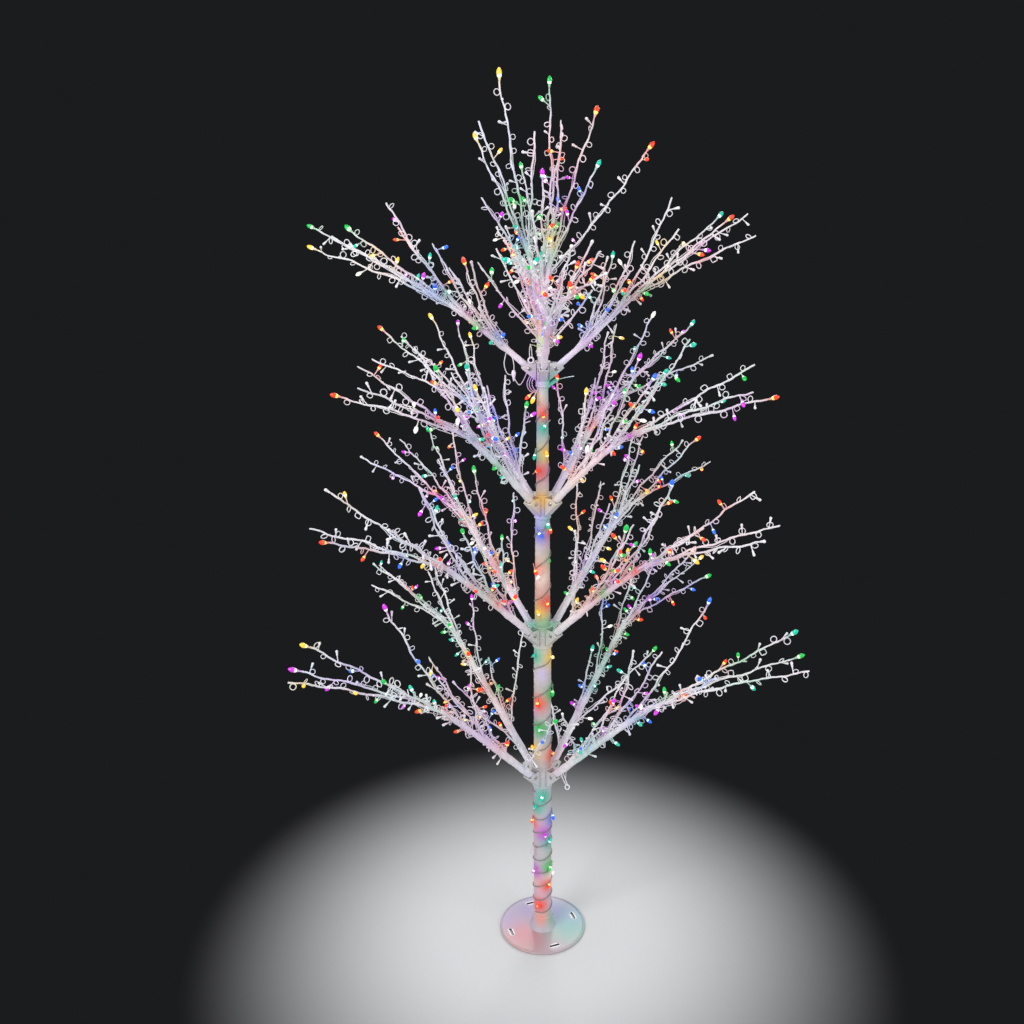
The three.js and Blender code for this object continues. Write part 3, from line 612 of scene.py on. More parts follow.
def trunk_radius(height):
    for pole in poles:
        if height <= pole[3]:
            return pole_radius(pole, height)
    return poles[-1][1]


def hub_sizes(number):
    tier = TIERS[number]
    bore = pole_radius(poles[max(number - 1, 0)], tier["height"] - HUB_BELOW) + FIT
    wall = bore + HUB_WALL
    return bore, wall, wall + PIN_OUT, 2 * (tier["root"] + FIT)


def upright(low, high, step):
    heights = np.linspace(low, high, max(2, round((high - low) / step)) + 1)
    return np.stack([0 * heights, 0 * heights, heights], 1)


def pole_form(number):
    pole = poles[number]
    line = upright(pole[2], pole[3], 3)
    radii = pole_radius(pole, line[:, 2]) - 0.3
    form = Form(sweep(line, radii, 48, ridge=0.45, pitch=19))
    if number:
        plug = poles[number - 1][1] - POLE_WALL - FIT
        form.add(sweep(upright(pole[2] - PLUG_LENGTH, pole[2] + 1, 20), plug, 48))
    return form


def plate_form():
    edge, top, inner = PLATE_RADIUS, RIM_HEIGHT, PLATE_RADIUS - RIM_WIDTH
    profile = [(0, 0)] + [(r, 0) for r in range(12, 109, 12)]
    profile += [
        (edge - 1.2, 0), (edge - 0.4, 0.35), (edge, 1.2), (edge, top - 1.2), (edge - 0.3, top - 0.5),
        (edge - 0.9, top - 0.1), (edge - 2, top), (edge - 3.1, top - 0.1), (edge - 3.7, top - 0.4),
        (inner, top - 1), (inner - 1.2, PLATE_THICKNESS),
    ]
    profile += [(r, PLATE_THICKNESS) for r in range(104, 11, -6)] + [(0, PLATE_THICKNESS)]
    return Form(lathe(profile, 144))


def collar_form():
    neck = poles[0][0] + FIT
    outside, inside = [], []
    for share in np.linspace(0, 1, 13):
        spread = (1 - share) ** 3
        height = PLATE_THICKNESS + share * COLLAR_HEIGHT
        outside.append((neck + COLLAR_WALL + (COLLAR_FOOT - neck - COLLAR_WALL) * spread, height))
        inside.append((neck + (COLLAR_FOOT - COLLAR_WALL - neck) * spread, height))
    outside[-1] = (outside[-1][0] - 0.8, outside[-1][1])
    outside.insert(-1, (outside[-2][0], outside[-1][1] - 0.9))
    return Form(lathe(outside + inside[::-1], 72, closed=True))


def bracket_parts(number):
    tier = TIERS[number]
    _, wall, pin, gap = hub_sizes(number)
    opening = math.radians(tier["open"])
    along = np.array([math.cos(opening), math.sin(opening)])
    below = np.array([math.sin(opening), -math.cos(opening)])

    def at(drop, reach):
        return np.array([pin, 0]) + below * drop + along * reach

    rest = tier["root"] + FIT
    sunk = wall - HUB_WALL / 2

    def root(drop):
        return at(drop, (sunk - pin - below[0] * drop) / along[0])

    low = rest + CHEEK
    start = opening + math.pi / 8
    crown = []
    for share in np.linspace(0, 1, 7):
        angle = start + (math.pi / 2 - start) * share
        crown.append((pin + CHEEK_ROUND * math.cos(angle), CHEEK_ROUND * math.sin(angle)))
    cheek = [root(low), at(low, CHEEK_NOSE - 3), at(low - 2.5, CHEEK_NOSE), at(0, CHEEK_NOSE)]
    cheek += [*crown, (sunk, CHEEK_ROUND)]
    web = [root(low), at(low, CHEEK_NOSE - 0.5), at(rest, CHEEK_NOSE - 0.5), root(rest)]
    side = (gap + CHEEK) / 2
    return [slab(cheek, CHEEK, side), slab(cheek, CHEEK, -side), slab(web, gap + 2 * CHEEK - 0.4, 0)]


def turned_basis(azimuth):
    a = math.radians(azimuth)
    return np.array([[math.cos(a), math.sin(a), 0], [-math.sin(a), math.cos(a), 0], [0, 0, 1.0]])


LYING = np.array([[1.0, 0, 0], [0, 0, 1], [0, -1, 0]])  # lays a lathed form along the hinge's axis


def hub_form(number):
    tier = TIERS[number]
    bore, wall, _, _ = hub_sizes(number)
    outside = [(wall - 0.6, -HUB_BELOW), (wall, -HUB_BELOW + 0.6)]
    for height in np.arange(-HUB_BELOW + 2, HUB_ABOVE - 2 * HUB_LIP, 2.0):
        outside.append((wall + 0.35 * math.sin(height * 0.9) - 0.35, height))
    outside += [
        (wall, HUB_ABOVE - 2 * HUB_LIP), (wall + HUB_LIP, HUB_ABOVE - HUB_LIP),
        (wall + HUB_LIP, HUB_ABOVE - 0.7), (wall + HUB_LIP - 0.7, HUB_ABOVE),
    ]
    points, quads = lathe(outside + [(bore, HUB_ABOVE), (bore, -HUB_BELOW)], 72, closed=True)
    angle, level = np.arctan2(points[:, 1], points[:, 0]), points[:, 2]
    crease = 0.3 * np.sin(3 * angle + level * 0.21 + number) * np.sin(level * 0.33 + 2 * angle)
    shown = np.hypot(points[:, 0], points[:, 1]) > bore + 1
    points[:, :2] *= (1 + np.where(shown, crease - 0.3, 0) / wall)[:, None]
    form = Form()
    lift = np.array([0, 0, tier["height"]])
    form.add((points, quads), origin=lift)
    for k in range(4):
        for part in bracket_parts(number):
            form.add(part, turned_basis(tier["turn"] + 90 * k), lift)
    return form


def pins_form(number):
    tier = TIERS[number]
    _, _, pin, gap = hub_sizes(number)
    face = gap / 2 + CHEEK + FIT
    dome = [(0, 0), (1.8, 0.1), (3.4, 0.45), (4.5, 1)]
    dome += [(PIN_HEAD, PIN_HEAD_HEIGHT), (PIN_RADIUS, PIN_HEAD_HEIGHT)]
    dome = [(r, z - face - PIN_HEAD_HEIGHT) for r, z in dome]
    rivet = lathe(dome + [(r, -z) for r, z in dome[::-1]], 20)
    form = Form()
    for k in range(4):
        turn = turned_basis(tier["turn"] + 90 * k)
        form.add(rivet, LYING @ turn, np.array([pin, 0, 0]) @ turn + [0, 0, tier["height"]])
    return form


def winding_line(number):
    foot = PLATE_THICKNESS + COLLAR_HEIGHT if number == 0 else TIERS[number - 1]["height"] + HUB_ABOVE
    start, end = foot + WINDING_END, TIERS[number]["height"] - HUB_BELOW - WINDING_END
    pole = poles[max(number - 1, 0)]
    turns = WINDING_TURNS[number]
    share = np.linspace(0, 1, turns * 40 + 1)
    angle = np.radians(WINDING_START[number]) + share * turns * math.tau
    height = start + (end - start) * share + 1.6 * np.sin(2.3 * angle)
    height = np.clip(height, start, end)
    radius = pole_radius(pole, height) + WINDING_GAP + WINDING_RADIUS
    return np.stack([np.cos(angle) * radius, np.sin(angle) * radius, height], 1)


# ---- Branches ----
def walk(start, ways, step):
    """Points from a start on, a step along each of some ways."""
    return np.cumsum([np.asarray(start, float), *(np.asarray(ways) * step)], axis=0)


def stem_line(tier, k):
    """A stem's corner points in the plane of its branch and the elevation of each stretch."""
    more = tier["end"] + tier.get("rise", [0, 0, 0, 0])[k] - tier["open"]
    elevations = [math.radians(tier["open"] + more * stretch / 3) for stretch in range(4)]
    ways = [(math.cos(elevation), 0, math.sin(elevation)) for elevation in elevations]
    return walk((0, 0, 0), ways, tier["length"] / 4), elevations


def point_along(points, share):
    scaled = min(share, 1) * (len(points) - 1)
    segment = min(int(scaled), len(points) - 2)
    return points[segment] + (points[segment + 1] - points[segment]) * (scaled - segment)


def twig_line(tier, stem, twig, side, reach):
    """A twig's corner points, the elevation of its stem there and its joint's share."""
    points, elevations = stem
    along, _, lift, length = twig
    elevation = elevations[min(int(along * 4), 3)]
    ways = []
    for middle in (0.25, 0.75):
        turn = math.radians(side * (1 - STRAIGHTENING * middle))
        rise = elevation + math.radians(lift * (0.75 + 0.5 * middle))
        ways.append((math.cos(rise) * math.cos(turn), math.sin(turn), math.sin(rise) * math.cos(turn)))
    step = length * tier["length"] * reach / 2
    return walk(point_along(points, along), ways, step), elevation, along


def twig_lines(tier, k, stem):
    mirror = 1 if k % 2 == 0 else -1
    for i, twig in enumerate(tier["twigs"]):
        side = mirror * (twig[1] + SWAY * math.sin(2.4 * k + 1.7 * i))
        yield twig_line(tier, stem, twig, side, tier["reach"][k])
    for twig in tier["inner"]:
        yield twig_line(tier, stem, twig, twig[1], 1)


# Small bends of a twig: which of two sides, how far and over what length.
BENDS = [(0, 2.6, 125), (1, 1.7, 84), (0, 0.5, 31), (1, 0.4, 23)]
# Most of a twig's length under the stem's tape, and the width of the thicker tape where it leaves.
UNDER_TAPE, TAPE_BAND = 48, 13
# Where the two runs of the light string start on a stem, as shares, and on a leader of the crown.
STEM_RUNS, LEADER_RUNS = (0.3, 0.36), (24, 34)


def eased_twig(corners, stem_way, stem_radius, back):
    """A twig that runs beside its stem under the tape before it leaves it, with small hand bends."""
    leave = unit(corners[1] - corners[0])
    off = leave - stem_way * np.dot(leave, stem_way)
    off = unit(off) if np.linalg.norm(off) > 0.05 else beside(stem_way)
    start = corners[0] - stem_way * back + off * stem_radius * 0.55
    root = corners[0] + off * stem_radius * 0.85
    line = curve([start, root, corners[1], corners[2]], 4)
    along = arc_lengths(line)
    free = np.clip((along - back) / 60, 0, 1) * np.clip((along[-1] - along) / 25 + 0.35, 0, 1)
    first = rotated(beside(leave), leave, chance.uniform(0, math.tau))
    sides = [first, np.cross(leave, first)]
    for side, reach, wave in BENDS:
        wave *= chance.uniform(0.8, 1.25)
        phase = chance.uniform(0, math.tau)
        line = line + (free * np.sin(math.tau * along / wave + phase) * reach)[:, None] * sides[side]
    return line


def twig_radii(line):
    share = arc_lengths(line) / arc_lengths(line)[-1]
    return 0.78 * (TWIG_ROOT + (TWIG_TIP - TWIG_ROOT) * share)


def add_twig(key, body, line, tip, start):
    radii = twig_radii(line)
    bar = radii.copy()
    bar[-1] *= 0.6
    tapes[key].add(sweep(line, bar, 8, ridge=0.3, pitch=9))
    fill(body, line[::2], radii[::2] + 1)
    runs.append(((key, body, line, radii, start, tip), True))


def rounded_end(left, reach):
    """Share of the radius that is left at some lengths before the end of a stem."""
    return 0.55 + 0.45 * np.clip(left / reach, 0, 1)


def stem_radii(tier, line, marks):
    """The stem's radius, with a thicker band of tape where each twig leaves."""
    along = arc_lengths(line)
    radii = tier["root"] - 0.5 + (tier["tip"] - tier["root"] + 0.5) * along / along[-1]
    for mark in marks:
        radii += np.exp(-(((along - mark) / TAPE_BAND) ** 2))
    return radii * rounded_end(along[-1] - along, 14)


def add_strings():
    """The light string on all twigs and stems, once their room is taken."""
    for run, on_twig in runs:
        add_string(*run)
        if on_twig:
            key, body, line, _, start, _ = run
            add_slack_wire(key, body, line, max(start - 22, 0), *(chance.uniform(*r) for r in ROOT_SLACK))
            start += chance.uniform(*FREE_SLACK_START)
            add_slack_wire(key, body, line, start, *(chance.uniform(*r) for r in FREE_SLACK))


def add_branch(number, k):
    tier = TIERS[number]
    key = f"{number + 1}_{k + 1}"
    body = body_of(key)
    _, _, pin, _ = hub_sizes(number)
    stem = stem_line(tier, k)
    basis = turned_basis(tier["turn"] + 90 * k)
    seat = np.array([pin, 0, 0]) @ basis + [0, 0, tier["height"]]
    hinges[body] = (seat, basis)

    def placed(points):
        return np.asarray(points) @ basis + seat

    twigs = list(twig_lines(tier, k, stem))
    line = placed(evenly(stem[0], 3))
    radii = stem_radii(tier, line, [twig[2] * tier["length"] for twig in twigs])
    fill(body, line[::2], radii[::2] + 1)
    tape = tapes[key]
    tape.add(sweep(line, radii, 24, ridge=0.5, pitch=17, lobes=6, lobe_depth=0.09, twist=0.004))
    half = tier["root"] - 0.5
    eye = lathe([
        (0, -half), (tier["root"] - 0.8, -half), (tier["root"], 0.8 - half),
        (tier["root"], half - 0.8), (tier["root"] - 0.8, half), (0, half),
    ], 40)
    tape.add(eye, LYING @ basis, seat)
    for index, (corners, elevation, share) in enumerate(twigs):
        stem_way = np.array([math.cos(elevation), 0, math.sin(elevation)])
        corners, stem_way = placed(corners), stem_way @ basis
        along = share * tier["length"]
        radius = np.interp(along, arc_lengths(line), radii)
        back = min(UNDER_TAPE, along - 4)
        twig = eased_twig(corners, stem_way, radius, back)
        add_twig(key, body, twig, TIPS[key][index], back + 4)
    for share in STEM_RUNS:
        start = share * tier["length"]
        runs.append(((key, body, line[:-2], radii[:-2] * 0.96, start, "-"), False))


def leaning_line(start, azimuth, tilts, length, segments):
    """A line at an azimuth whose lean goes from one tilt to another."""
    shares = (np.arange(segments) + 0.5) / segments
    ways = [lean(azimuth, tilts[0] + (tilts[1] - tilts[0]) * share) for share in shares]
    return walk(start, ways, length / segments)


def add_crown():
    lines = []
    for azimuth, tilts, share in LEADERS:
        length = share * LEADER_LENGTH
        line = leaning_line((0, 0, TRUNK_HEIGHT), azimuth, tilts, length, 3)
        lines.append(line)
        fine = curve(line, 3)
        way = arc_lengths(fine) / length
        radii = (LEADER_ROOT + (LEADER_TIP - LEADER_ROOT) * way) * rounded_end((1 - way) * length, 12)
        tapes["crown"].add(sweep(fine, radii, 20, ridge=0.45, pitch=15, lobes=5, lobe_depth=0.09))
        fill("trunk", fine[::2], radii[::2] + 1)
        for start in LEADER_RUNS:
            runs.append((("crown", "trunk", fine[:-2], radii[:-2], start, "-"), False))
    for index, (leader, share, azimuth, tilts, length) in enumerate(CROWN_TWIGS):
        line = lines[leader]
        start = point_along(line, share)
        corners = leaning_line(start, azimuth, tilts, length * CROWN_TWIG_LENGTH, 2)
        segment = min(int(share * 3), 2)
        way = unit(line[segment + 1] - line[segment])
        back = min(UNDER_TAPE - 4, share * LEADERS[leader][2] * LEADER_LENGTH - 6)
        twig = eased_twig(corners, way, 5, back)
        add_twig("crown", "trunk", twig, TIPS["crown"][index], back + 4)


def add_side_spray():
    hub_top = TIERS[-1]["height"] + HUB_ABOVE
    low, high = (hub_top + (TRUNK_HEIGHT - hub_top) * share for share in BAND_ENDS)
    bore = pole_radius(poles[-1], low) + FIT
    outer = bore + BAND_WALL
    outside = [(outer - 0.6, low), (outer, low + 0.6)]
    outside += [(outer - 0.35 + 0.35 * math.sin(z * 0.8), z) for z in np.arange(low + 3, high - 2, 2.0)]
    outside += [(outer, high - 0.6), (outer - 0.6, high)]
    tapes["side"].add(lathe(outside + [(bore, high), (bore, low)], 48, closed=True))
    for index, (share, azimuth, tilts, length) in enumerate(SIDE_TWIGS):
        start = lean(azimuth, 90) * (bore + BAND_WALL / 2) + [0, 0, low + (high - low) * share]
        corners = leaning_line(start, azimuth, tilts, length * SIDE_TWIG_LENGTH, 2)
        add_twig("side", "trunk", curve(corners, 4), TIPS["side"][index], 12)


# ---- Light string on the trunk ----
def add_trunk_lamps():
    for height, azimuth, letter in TRUNK_LAMPS:
        key = f"winding_{1 + sum(height >= tier['height'] for tier in TIERS[:-1])}"
        climb = chance.choice([-1, 1]) * chance.uniform(0.5, 1.0)
        out = lean(azimuth, 90)
        across = np.cross((0, 0, 1), out)
        way = unit(np.array([0, 0, climb]) + across * chance.uniform(-0.8, 0.8) + out * 0.12)
        lens = out * (trunk_radius(height) + TRUNK_LENS_OUT) + [0, 0, height]
        colour = LETTERS[letter]
        add_lamp(key, "trunk", lens - way * TRUNK_LENS_REACH, way, colour)
        glows.append((out * trunk_radius(height) + [0, 0, height], COLOURS[colour][0], TRUNK_GLOW))


def add_loose_ends():
    """Free runs and ends of the light string, a splice and a taped bundle by the hubs."""
    for key, corners, radius in LOOSE_RUNS:
        line = curve(corners, 3)
        strings[key].add(sweep(line, radius, 6))
        fill(body_of(key), line[::2], radius)
    for key, top, radius, wire in END_RINGS:
        facing = unit(CAMERA - top)
        down = unit(np.array([0, 0, -1.0]) + facing * facing[2])
        basis = np.array([np.cross(down, facing), down, facing])
        strings[key].add(wire_loop(radius, wire, steps=20, sides=8), basis, np.array(top))
    splice = lathe([(0, 0), (3.5, 0.4), (5.2, 5), (4.6, 10), (2.2, 20), (1.2, 24), (0, 24.2)], 12)
    strings["4_3"].add(splice, along_axis(np.array([0, 0, -1.0]), 0), np.array([-64, 14, 1517]))
    bundle = np.array([(8, 1, 1475), (20, -3, 1485), (32, -8, 1494)], float)
    tapes["crown"].add(sweep(curve(bundle, 3), 4.3, 16, ridge=0.4, pitch=12))
    glows.extend((np.array(place, float), colour, power) for place, colour, power in LOOSE_LIGHT)
    for key, place, way, colour in LOOSE_LAMPS:
        add_lamp(key, "trunk", np.array(place, float), np.array(way, float), colour, 1.1)


def fill_trunk():
    """Takes the room of the trunk's poles with their winding, and of the hubs and brackets."""
    ball, sunk = 7, 4
    circle = np.array([lean(azimuth, 90) for azimuth in range(0, 360, 24)])
    for height in np.arange(PLATE_THICKNESS, TRUNK_HEIGHT, 9):
        fill("trunk", circle * (trunk_radius(height) - sunk) + [0, 0, height], ball)
    for number, tier in enumerate(TIERS):
        _, wall, pin, gap = hub_sizes(number)
        for height in np.arange(-HUB_BELOW + 4, HUB_ABOVE, 8):
            fill("trunk", circle * (wall - sunk) + [0, 0, tier["height"] + height], ball)
        for k in range(4):
            out = lean(tier["turn"] + 90 * k, 90)
            for reach in np.arange(wall, pin + 12, 6):
                places = [out * reach + [0, 0, tier["height"] + height] for height in (-20, -10, 0, 8)]
                fill("trunk", places, gap / 2 + 1)


# ---- Surfaces ----
def fill_inputs(tree, node, inputs):
    """Links sockets to inputs of a node, or sets them to values."""
    for name, value in inputs.items():
        target = node.inputs[name]
        if isinstance(value, bpy.types.NodeSocket):
            tree.links.new(value, target)
        else:
            target.default_value = (*value, 1) if target.type == "RGBA" else value


def add_node(tree, kind, inputs, output=0, **settings):
    """Makes a node and gives one of its output sockets."""
    node = tree.nodes.new(f"ShaderNode{kind}")
    for name, value in settings.items():
        setattr(node, name, value)
    fill_inputs(tree, node, inputs)
    return node.outputs[output]


def add_material(name):
    material = bpy.data.materials.new(name)
    material.use_nodes = True
    tree = material.node_tree
    return material, tree, tree.nodes["Principled BSDF"]


def noise(tree, scale, detail, stretch=(1, 1, 1)):
    place = add_node(tree, "TexCoord", {}, "Object")
    mapped = add_node(tree, "Mapping", {"Vector": place, "Scale": stretch})
    return add_node(tree, "TexNoise", {"Vector": mapped, "Scale": scale, "Detail": detail}, "Fac")


def mixed_colour(tree, factor, low, high):
    colour_a, colour_b, result = 6, 7, 2  # the node's sockets for colours
    inputs = {"Factor": factor, colour_a: low, colour_b: high}
    return add_node(tree, "Mix", inputs, result, data_type="RGBA")


def surface(
    name, pale, dark, rough, patch, crinkle, depth, coat=0.0, metal=0.0, glow=True, stretch=(1, 1, 1),
):
    """A painted, taped or moulded surface. patch and crinkle: noise scales for tone and bump."""
    material, tree, shader = add_material(name)
    tone = noise(tree, patch, 5, stretch)
    contrast = add_node(tree, "MapRange", {"Value": tone, "From Min": 0.35, "From Max": 0.68})
    colour = mixed_colour(tree, contrast, dark, pale)
    if glow:
        light = add_node(tree, "Attribute", {}, attribute_name="glow")
        colour = mixed_colour(tree, light.node.outputs["Alpha"], colour, light)
    fine = noise(tree, crinkle, 4, stretch)
    spread = {"Value": tone, "To Min": rough - 0.12, "To Max": rough + 0.12}
    fill_inputs(tree, shader, {
        "Base Color": colour,
        "Roughness": add_node(tree, "MapRange", spread),
        "Normal": add_node(tree, "Bump", {"Strength": 0.6, "Distance": depth, "Height": fine}),
        "Coat Weight": coat,
        "Metallic": metal,
    })
    return material


def lamp_surface(name, colour, strength):
    material, tree, shader = add_material(name)
    fill_inputs(tree, shader, {
        "Base Color": mixed_colour(tree, noise(tree, 160, 2), tuple(0.8 * c for c in colour), colour),
        "Emission Color": colour,
        "Emission Strength": strength,
        "Roughness": 0.25,
        "Coat Weight": 0.5,
    })
    return material


# ---- Lamplight painted on the surfaces ----
# Lamplight on the base plate, as azimuth, radius and colour.
PLATE_LIGHT = [
    (-172, 60, (0.6, 0.16, 0.21)), (-140, 74, (0.6, 0.23, 0.26)), (-28, 72, (0.1, 0.44, 0.38)),
    (5, 88, (0.24, 0.37, 0.54)), (100, 76, (0.31, 0.21, 0.47)), (150, 92, (0.38, 0.27, 0.5)),
    (-95, 95, (0.46, 0.32, 0.4)), (40, 50, (0.21, 0.2, 0.56)), (-60, 60, (0.3, 0.44, 0.4)),
]
PLATE_REACH, PLATE_SHARE = 30, 0.88
# Colours of the broad patches of mixed lamplight and their shares.
WASHES = [
    ((0.66, 0.46, 0.95), 30), ((0.95, 0.5, 0.8), 24), ((0.5, 0.9, 0.62), 18), ((0.5, 0.68, 1.0), 14),
    ((1.0, 0.62, 0.55), 12), ((0.45, 0.88, 0.82), 10),
]
WASH_COUNT = 110
# Reach of the bright spot at a lamp and of a broad patch, powers of the spot and its halo, and the
# greatest share of both.
SPOT_REACH, WASH_REACH, SPOT_POWER, HALO_POWER, MOST = 11, 48, 1.25, 0.18, 0.9
CHUNK = 4000  # points worked out at once
LEAST = 1e-6


def washes():
    """Broad soft patches of mixed lamplight on the tree, as places and colours."""
    places = [g[0] for g in chance.sample(glows, WASH_COUNT)]
    colours = chance.choices([w[0] for w in WASHES], [w[1] for w in WASHES], k=WASH_COUNT)
    return np.array(places), np.array(colours)


def blend(weights, colours):
    """Colours mixed by weights, and the weights' sum."""
    total = weights.sum(1)
    return (weights @ colours) / np.maximum(total, LEAST)[:, None], total


def lamplight(points, reach, mixed):
    """Colour and share of the lamplight at points. mixed: share of the broad patches."""
    places, colours, power = (np.array([g[part] for g in glows]) for part in range(3))
    rows = []
    for start in range(0, len(points), CHUNK):
        part = points[start:start + CHUNK]
        apart = ((part[:, None] - places[None]) ** 2).sum(-1)
        spot, halo = (np.exp(-apart / (2 * r**2)) for r in (SPOT_REACH, reach))
        hue, total = blend(power * (SPOT_POWER * spot + HALO_POWER * halo), colours)
        near = MOST * (1 - np.exp(-total))
        apart = ((part[:, None] - wash_places[None]) ** 2).sum(-1)
        tint, total = blend(np.exp(-apart / (2 * WASH_REACH**2)), wash_colours)
        wide = mixed * (1 - np.exp(-total)) * (1 - near)
        both = np.maximum(near + wide, LEAST)
        colour = (hue * 0.9 + 0.04) * near[:, None] + tint * wide[:, None]
        rows.append(np.column_stack([colour / both[:, None], both]))
    return np.concatenate(rows)


trunk_light = partial(lamplight, reach=24, mixed=0.4)
twig_light = partial(lamplight, reach=30, mixed=0.75)
string_light = partial(lamplight, reach=30, mixed=0.5)


def plate_light(points):
    places = np.array([lean(azimuth, 90)[:2] * radius for azimuth, radius, _ in PLATE_LIGHT])
    apart = ((points[:, None, :2] - places[None]) ** 2).sum(-1)
    hue, total = blend(np.exp(-apart / (2 * PLATE_REACH**2)), np.array([row[2] for row in PLATE_LIGHT]))
    return np.column_stack([hue, PLATE_SHARE * (1 - np.exp(-1.5 * total))])


# ---- Meshes ----
def make_mesh(name, parts, light=None):
    """A mesh of some forms, each with its material. light: what paints the lamplight."""
    mesh = bpy.data.meshes.new(name)
    points, faces, kinds, count = [], [], [], 0
    for kind, (form, look) in enumerate(parts):
        mesh.materials.append(look)
        points += form.points
        faces += [each + count for each in form.faces]
        kinds += [np.full(len(each), kind) for each in form.faces]
        count += form.count
    points = np.concatenate(points)
    corners = np.concatenate([each.ravel() for each in faces])
    sizes = np.concatenate([np.full(len(each), each.shape[1]) for each in faces])
    mesh.vertices.add(len(points))
    mesh.vertices.foreach_set("co", (points * MM).astype(np.float32).ravel())
    mesh.loops.add(len(corners))
    mesh.loops.foreach_set("vertex_index", corners.astype(np.int32))
    mesh.polygons.add(len(sizes))
    mesh.polygons.foreach_set("loop_start", (np.cumsum(sizes) - sizes).astype(np.int32))
    mesh.polygons.foreach_set("material_index", np.concatenate(kinds).astype(np.int32))
    mesh.polygons.foreach_set("use_smooth", np.ones(len(sizes), bool))
    mesh.update(calc_edges=True)
    mesh.validate()
    mesh.set_sharp_from_angle(angle=math.radians(48))
    if light is not None:
        glow = mesh.attributes.new("glow", "FLOAT_COLOR", "POINT")
        glow.data.foreach_set("color", light(points).astype(np.float32).ravel())
    return mesh


def add_piece(name, parts, body, replaced=(), light=None):
    piece = add_object(name, make_mesh(name, parts, light))
    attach(piece, body)
    if replaced:
        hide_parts(*replaced)
    return piece


def cut_slots(plate, edge):
    """Cuts the four slots through the base plate, with their walls painted dark as the shade inside them.
    """
    plate.data.materials.append(edge)
    radius = SLOT_WIDTH / 2
    turns = np.concatenate([start + np.linspace(0, math.pi, 9) for start in (0, math.pi)])
    ends = np.repeat([1, -1], 9) * (SLOT_LENGTH / 2 - radius)
    ring = np.stack([SLOT_CIRCLE + radius * np.cos(turns), ends + radius * np.sin(turns), 0 * turns], 1)
    rings = np.array([ring - [0, 0, 3], ring + [0, 0, PLATE_THICKNESS + 4]])
    form = Form()
    for k in range(4):
        form.add(skin(rings, rings.mean(1)), turned_basis(90 * k))
    cutter = add_object("cutter", make_mesh("cutter", [(Form(), plate.data.materials[0]), (form, edge)]))
    cutter.data.shade_flat()
    modifier = plate.modifiers.new("slots", "BOOLEAN")
    modifier.operation = "DIFFERENCE"
    modifier.solver = "EXACT"
    modifier.object = cutter
    bpy.context.view_layer.update()
    evaluated = plate.evaluated_get(bpy.context.evaluated_depsgraph_get())
    cut = bpy.data.meshes.new_from_object(evaluated)
    plate.modifiers.clear()
    plate.data = cut
    bpy.data.objects.remove(cutter)
    cut.set_sharp_from_angle(angle=math.radians(40))


# ---- Stage, in metres ----
BACKDROP = (0.011, 0.0115, 0.013)
FLOOR_RADIUS, FLOOR_CORNERS = 4.5, 96
# Area lamps: name, azimuth, distance, height, size and power.
STUDIO = [
    ("key", -155, 3.0, 2.9, 1.8, 75), ("fill", -60, 3.2, 1.8, 2.2, 32), ("rim", 60, 3.0, 2.8, 1.8, 45),
]
AIM = Vector((0, 0, 1.0))


def shown_rays(tree):
    """1 where the backdrop is seen, directly or in metal and glass."""
    total = add_node(tree, "LightPath", {}, "Is Camera Ray")
    rays = total.node.outputs
    for ray in ("Is Glossy Ray", "Is Transmission Ray"):
        total = add_node(tree, "Math", {0: total, 1: rays[ray]}, operation="MAXIMUM")
    return total


def add_stage():
    """A pale floor that fades into the backdrop well outside the object, and soft light."""
    turns = np.arange(FLOOR_CORNERS) * math.tau / FLOOR_CORNERS
    points = [(FLOOR_RADIUS * math.cos(a), FLOOR_RADIUS * math.sin(a), 0) for a in turns]
    mesh = bpy.data.meshes.new("floor")
    mesh.from_pydata(points, [], [list(range(FLOOR_CORNERS))])
    floor = add_object("floor", mesh)
    floor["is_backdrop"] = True
    material, tree, shader = add_material("floor")
    grain = mixed_colour(tree, noise(tree, 90, 3), (0.6, 0.6, 0.605), (0.63, 0.63, 0.635))
    fill_inputs(tree, shader, {"Base Color": grain, "Roughness": 0.9, "Specular IOR Level": 0.1})
    place = add_node(tree, "TexCoord", {}, "Object")
    out = add_node(tree, "VectorMath", {0: place}, "Value", operation="LENGTH")
    span = {"Value": out, "From Min": 0.2, "From Max": 0.95}
    fade = add_node(tree, "MapRange", span, interpolation_type="SMOOTHSTEP")
    seen = add_node(tree, "Math", {0: fade, 1: shown_rays(tree)}, operation="MULTIPLY")
    far = add_node(tree, "Emission", {"Color": BACKDROP})
    both = add_node(tree, "MixShader", {"Fac": seen, 1: shader.outputs["BSDF"], 2: far})
    fill_inputs(tree, tree.nodes["Material Output"], {"Surface": both})
    mesh.materials.append(material)

    world = bpy.data.worlds.new("studio")
    bpy.context.scene.world = world
    world.use_nodes = True
    tree = world.node_tree
    lit = tree.nodes["Background"]
    fill_inputs(tree, lit, {"Color": (0.94, 0.97, 1.0), "Strength": 0.62})
    shown = add_node(tree, "Background", {"Color": BACKDROP})
    both = add_node(tree, "MixShader", {"Fac": shown_rays(tree), 1: lit.outputs["Background"], 2: shown})
    fill_inputs(tree, tree.nodes["World Output"], {"Surface": both})

    for name, azimuth, distance, height, size, power in STUDIO:
        light = bpy.data.lights.new(name, "AREA")
        light.size = size
        light.energy = power
        lamp = add_object(name, light)
        a = math.radians(azimuth)
        lamp.location = (distance * math.cos(a), distance * math.sin(a), height)
        lamp.rotation_mode = "QUATERNION"
        lamp.rotation_quaternion = (AIM - lamp.location).to_track_quat("-Z", "Y")


# ---- Build ----
add_camera()
add_stage()
bpy.context.scene.view_settings.view_transform = "Standard"

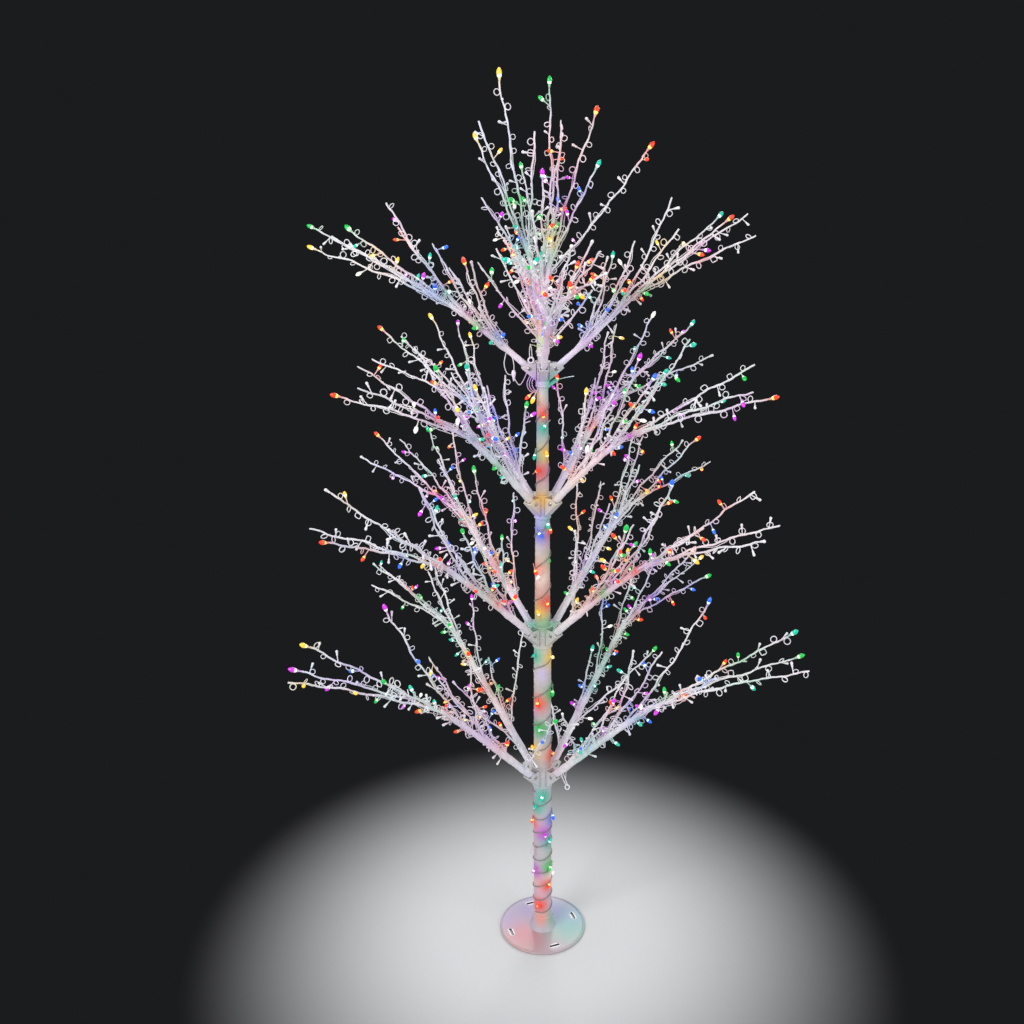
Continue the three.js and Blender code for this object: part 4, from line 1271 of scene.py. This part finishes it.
for number in range(len(TIERS)):
    for k in range(4):
        add_branch(number, k)
add_crown()
add_side_spray()
for number in range(len(TIERS)):
    strings[f"winding_{number + 1}"].add(sweep(winding_line(number), WINDING_RADIUS - 0.05, 8))
add_trunk_lamps()
add_loose_ends()
fill_trunk()
add_strings()
wash_places, wash_colours = washes()

coated = surface("coated_steel", (0.5, 0.485, 0.46), (0.45, 0.435, 0.41), 0.42, 30, 900, 0.0002, coat=0.25)
# Walls of the base plate's slots, painted near black as the shade inside the slots.
slot_painted_shade = surface("slot_painted_shade", (0.05, 0.05, 0.055), (0.02, 0.02, 0.022), 0.6, 60, 900, 0.0001, glow=False)
pole_tape = surface("pole_tape", (0.62, 0.6, 0.52), (0.52, 0.5, 0.43), 0.6, 38, 420, 0.0007)
twig_tape = surface("twig_tape", (0.9, 0.87, 0.9), (0.76, 0.73, 0.77), 0.6, 90, 650, 0.0005)
# Wire of the windings on the trunk, painted dark as its shade and the thin shadow lines it casts on the
# trunk; the clear wire itself is pale.
trunk_flex_painted_shade = surface(
    "trunk_flex_painted_shade", (0.3, 0.3, 0.26), (0.19, 0.19, 0.17), 0.4, 160, 900, 0.0001, coat=0.3, glow=False,
)
flex = surface("clear_flex", (0.93, 0.91, 0.93), (0.83, 0.81, 0.84), 0.35, 160, 900, 0.0001, coat=0.3)
zinc = surface(
    "zinc_steel", (0.68, 0.69, 0.7), (0.52, 0.53, 0.54), 0.38, 220, 1400, 0.0001, metal=0.85, glow=False,
    stretch=(1, 1, 6),
)

dish, collar = [(plate_form(), coated)], [(collar_form(), coated)]
plate = add_piece("base_dish", dish, "trunk", ["base_plate"], plate_light)
cut_slots(plate, slot_painted_shade)
add_piece("foot_collar", collar, "trunk", ["base_collar"], trunk_light)
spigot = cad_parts["base_spigot"].data
spigot.materials.clear()
spigot.materials.append(zinc)
for number in range(4):
    label = number + 1
    pole, sleeve = [(pole_form(number), pole_tape)], [(hub_form(number), pole_tape)]
    add_piece(f"trunk_{label}", pole, "trunk", [f"pole_{label}"], trunk_light)
    add_piece(f"sleeve_{label}", sleeve, "trunk", [f"hub_{label}"], trunk_light)
    pins = [f"pin_{label}_{k}" for k in range(1, 5)]
    add_piece(f"rivets_{label}", [(pins_form(number), zinc)], "trunk", pins)

for key, form in tapes.items():
    node = f"{key}_spray" if key in ("crown", "side") else f"branch_{key}"
    add_piece(f"tape_{key}", [(form, twig_tape)], body_of(key), [node], twig_light)
for key, form in strings.items():
    parts, nodes = [(form, flex)], []
    if key.startswith("winding"):
        parts = [(form, trunk_flex_painted_shade), (lamp_stems[key], flex)]
        nodes = [key.replace("winding", "trunk_string")]
    add_piece(f"string_{key}", parts, body_of(key), nodes, string_light)
looks = {
    name: (lamp_surface(f"led_{name}", colour, 0.42), lamp_surface(f"led_{name}_heart", heart, 1.2))
    for name, (colour, heart, _) in COLOURS.items()
}
for body, colour in sorted(lenses):
    lens, heart = looks[colour]
    parts = [(lenses[body, colour], lens), (hearts[body, colour], heart)]
    add_piece(f"lamps_{colour}_{body}", parts, body)

low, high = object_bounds()
({
    "cad": [list(cad_box[0]), list(cad_box[1])],
    "visual": [list(low), list(high)],
})
